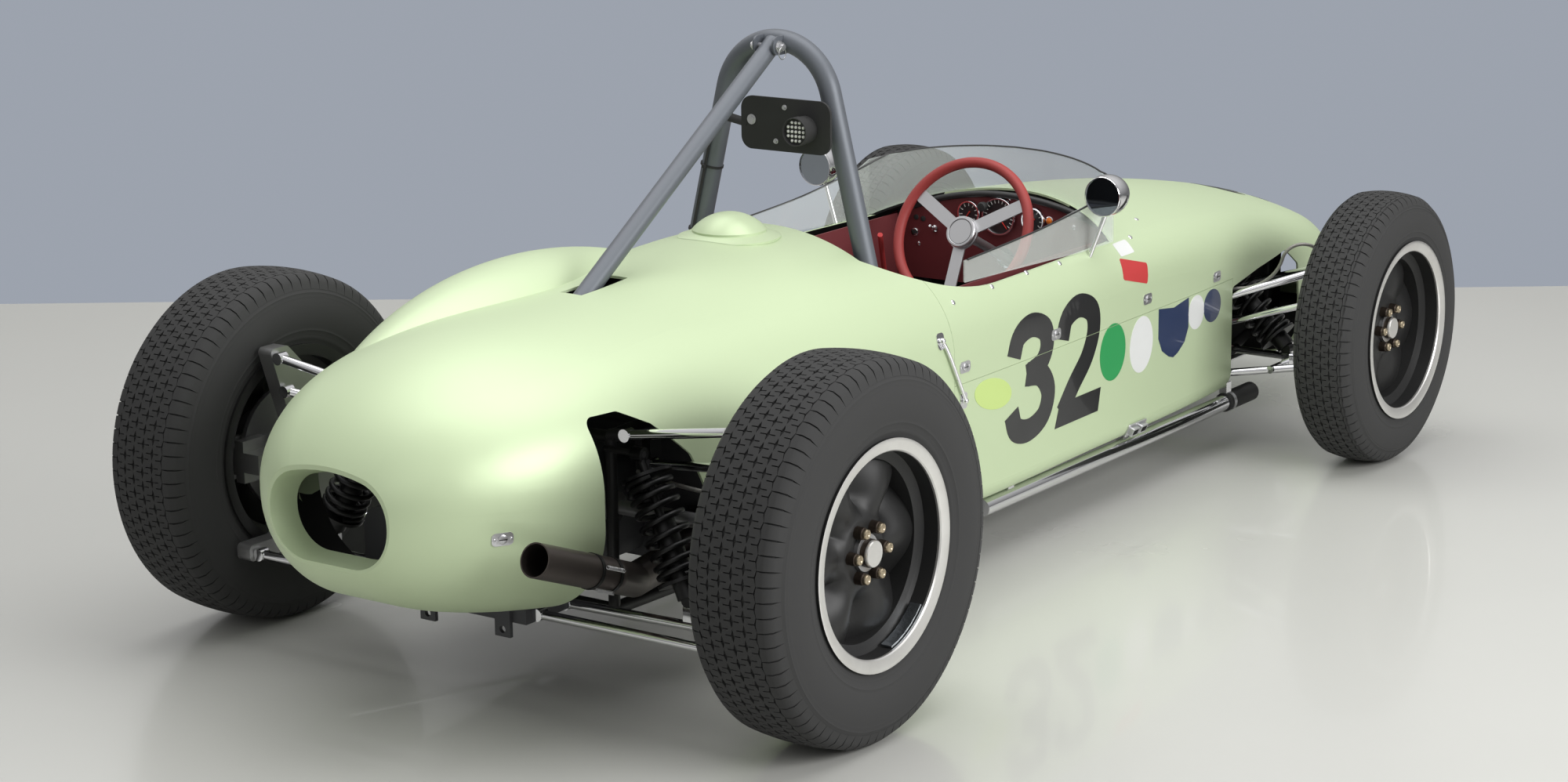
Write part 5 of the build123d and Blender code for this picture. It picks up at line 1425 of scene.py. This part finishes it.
# Places from the rear axle
MIRROR_PLACE = (1480, 376, 720)
LAMP_PLACE = (705, -112, 944)
DOT_PITCH = 0.0092
DOTS_HALF = 0.0300
# Bolts on the lamp's board: across, up, radius
LAMP_BOLTS = ((20, 955, 7.5), (-62, 985, 4.0), (-40, 915, 4.0))
LAMP_BOARD_X = 738
HOOP_EYE = (770, 0, 1101)
# The cross bolt on each side of the eye: start, end, radius, segments
HOOP_BOLT = ((-1, 40, 6.2, 14), (26.5, 29, 12.5, 22), (29, 36, 9.8, 6))
HOOP_X = 805
HOOP_TUBE_R = 0.022
CABLE_HEIGHTS = (640, 700, 770, 840, 900)
CABLE_END = (779, 150, 934)
# The steering wheel's hub from the front axle, and the column's angle in degrees
STEERING_HUB = (-772, 0, 598)
COLUMN_TILT = 25.66
# Windscreen top edge from the rear axle: along and up
SCREEN_TOP = ((1010, 655), (1180, 664), (1355, 676), (1560, 700), (1690, 745))
# Near its top edge the screen is sought from this far aside and above, and its bend from an ellipse
SCREEN_ASIDE = 330
SCREEN_ABOVE = 14
BEND_X = 1690
BEND_LONG = 90
BEND_HALF = 310
BEND_Z = 775
BEND_STEPS = 6


class CAR_OT_cockpit(bpy.types.Operator):
    """Mirror glasses, the screen's edge, rain lamp dots, hoop fittings and steering details"""
    bl_idname = "car.cockpit"
    bl_label = "Cockpit fittings"

    def execute(self, context):
        self.mirrors()
        self.screen_edge()
        self.rain_lamp()
        self.hoop()
        self.steering()
        return {"FINISHED"}

    def mirrors(self):
        glass = Piece("mirror_glass", "chrome")
        x, y, z = MIRROR_PLACE
        for side in SIDES:
            centre = rear(x, side * y, z)
            glass.turned(MIRROR_GLASS, centre, BACK)
            glass.turned(MIRROR_RIM, centre, BACK, slot=1, closed=True)
        glass.done("mirror_glasses", merge=0)

    def screen_edge(self):
        """A thin dark line along the top of the screen."""
        sheet = Skin("windscreen").tree
        for side in SIDES:
            near = [rear(x, side * SCREEN_ASIDE, z + SCREEN_ABOVE) for x, z in SCREEN_TOP]
            for k in range(1, BEND_STEPS + 1):
                turn = pi / 2 * k / BEND_STEPS
                near.append(rear(BEND_X + BEND_LONG * sin(turn), side * BEND_HALF * cos(turn), BEND_Z))
            edge = Piece("trim_black")
            edge.tube(smooth_line([sheet.find_nearest(spot)[0] for spot in near], 4), 0.0022, 8)
            edge.done("screen_edge_" + side_name(side))

    def rain_lamp(self):
        centre = rear(*LAMP_PLACE)
        offsets = [DOT_PITCH * k for k in range(-2, 3)]
        dots = [facing(centre + BACK * 0.0008 + Vector((0, y, z)), BACK)
                for z in offsets for y in offsets if abs(y) + abs(z) < DOTS_HALF]
        scatter("rain_lamp_dots", small_shape("mark_white", LAMP_DOT, 12), dots)
        bezel = Piece("lamp_black", "bare_alloy")
        bezel.turned(LAMP_BEZEL, centre, BACK, 40, closed=True)
        for y, z, r in LAMP_BOLTS:
            spot = rear(LAMP_BOARD_X, y, z)
            bezel.rod(spot, spot + BACK * 0.0012, r * 0.0014, 18, slot=1)
            bezel.rod(spot, spot + BACK * 0.0052, r / 1000, 6, slot=1)
        bezel.done("rain_lamp_fittings", merge=0)

    def hoop(self):
        """The stay's fork and bolt with a wire ring, and the lamp's cable clipped to the hoop's leg."""
        fittings = Piece("bare_alloy", "lamp_black", "hoop_grey")
        eye = rear(*HOOP_EYE)
        for side in SIDES:
            aside = Vector((0, side, 0))
            cheek = facing(eye + aside * 0.0215 + Vector((0.012, 0, 0.002)), aside)
            fittings.plate(rounded(60, 38, 16), 0.0045, cheek, 2)
            for start, end, radius, segments in HOOP_BOLT:
                fittings.rod(eye + aside * start / 1000, eye + aside * end / 1000, radius / 1000, segments)
        turns = [2 * pi * k / 20 for k in range(20)]
        hang = eye + Vector((-0.004, -0.038, 0))
        ring = [hang + Vector((-cos(turn), 0, sin(turn) - 1)) * 0.012 for turn in turns]
        fittings.tube(ring, 0.0010, 6, closed=True)
        leg = Skin("roll_hoop")
        cable = []
        for k, z in enumerate(CABLE_HEIGHTS):
            spot, above = (leg.at(rear(HOOP_X, BESIDE, height), (0, -1, 0))[0] for height in (z, z + 20))
            centre = spot - Vector((0, HOOP_TUBE_R, 0))
            cable.append(centre + BACK * 0.0255)
            if k % 2 == 1:
                fittings.turned(band(-2.5, 2.5, 22.2, 24.4), centre, above - spot, 28, slot=1, closed=True)
                fittings.block((-4, -3, -3.5), (4, 4, 3.5), 1, Matrix.Translation(centre + BACK * 0.0275))
        fittings.tube(smooth_line(cable + [rear(*CABLE_END)], 6), 0.0028, 8, slot=1)
        fittings.done("hoop_fittings", merge=0)

    def steering(self):
        """A plain raised boss on the hub; it turns with the wheel."""
        centre = front(*STEERING_HUB)
        tilt = radians(COLUMN_TILT)
        toward = Vector((-cos(tilt), 0, sin(tilt)))
        boss = Piece("bare_alloy", "lamp_black")
        boss.turned(BOSS, centre, toward)
        boss.turned(band(11.7, 12.2, 28, 29.2), centre, toward, slot=1, closed=True)
        boss.done("steering_boss", "steering_wheel", merge=0)


STEPS = (CAR_OT_studio, CAR_OT_finishes, CAR_OT_tyres, CAR_OT_wheels, CAR_OT_springs, CAR_OT_marks,
         CAR_OT_fasteners, CAR_OT_dashboard, CAR_OT_cockpit)


class CAR_PT_panel(bpy.types.Panel):
    """Lists the steps that dress the car"""
    bl_idname = "CAR_PT_panel"
    bl_label = "Racing car"
    bl_space_type = "VIEW_3D"
    bl_region_type = "UI"
    bl_category = "Racing car"

    def draw(self, context):
        for group in (colours(), sizes()):
            box = self.layout.box()
            for key in group.bl_rna.properties.keys():
                if key not in ("rna_type", "name"):
                    box.prop(group, key)
        for step in STEPS:
            self.layout.operator(step.bl_idname)


CLASSES = (CarColours, CarSizes, *STEPS, CAR_PT_panel)


def register():
    for made in CLASSES:
        bpy.utils.register_class(made)
    bpy.types.Scene.car_colours = bpy.props.PointerProperty(type=CarColours)
    bpy.types.Scene.car_sizes = bpy.props.PointerProperty(type=CarSizes)


def unregister():
    del bpy.types.Scene.car_sizes
    del bpy.types.Scene.car_colours
    for made in reversed(CLASSES):
        bpy.utils.unregister_class(made)


def main():
    register()
    for step in STEPS:
        family, action = step.bl_idname.split(".")
        getattr(getattr(bpy.ops, family), action)()


if __name__ == "__main__":
    main()
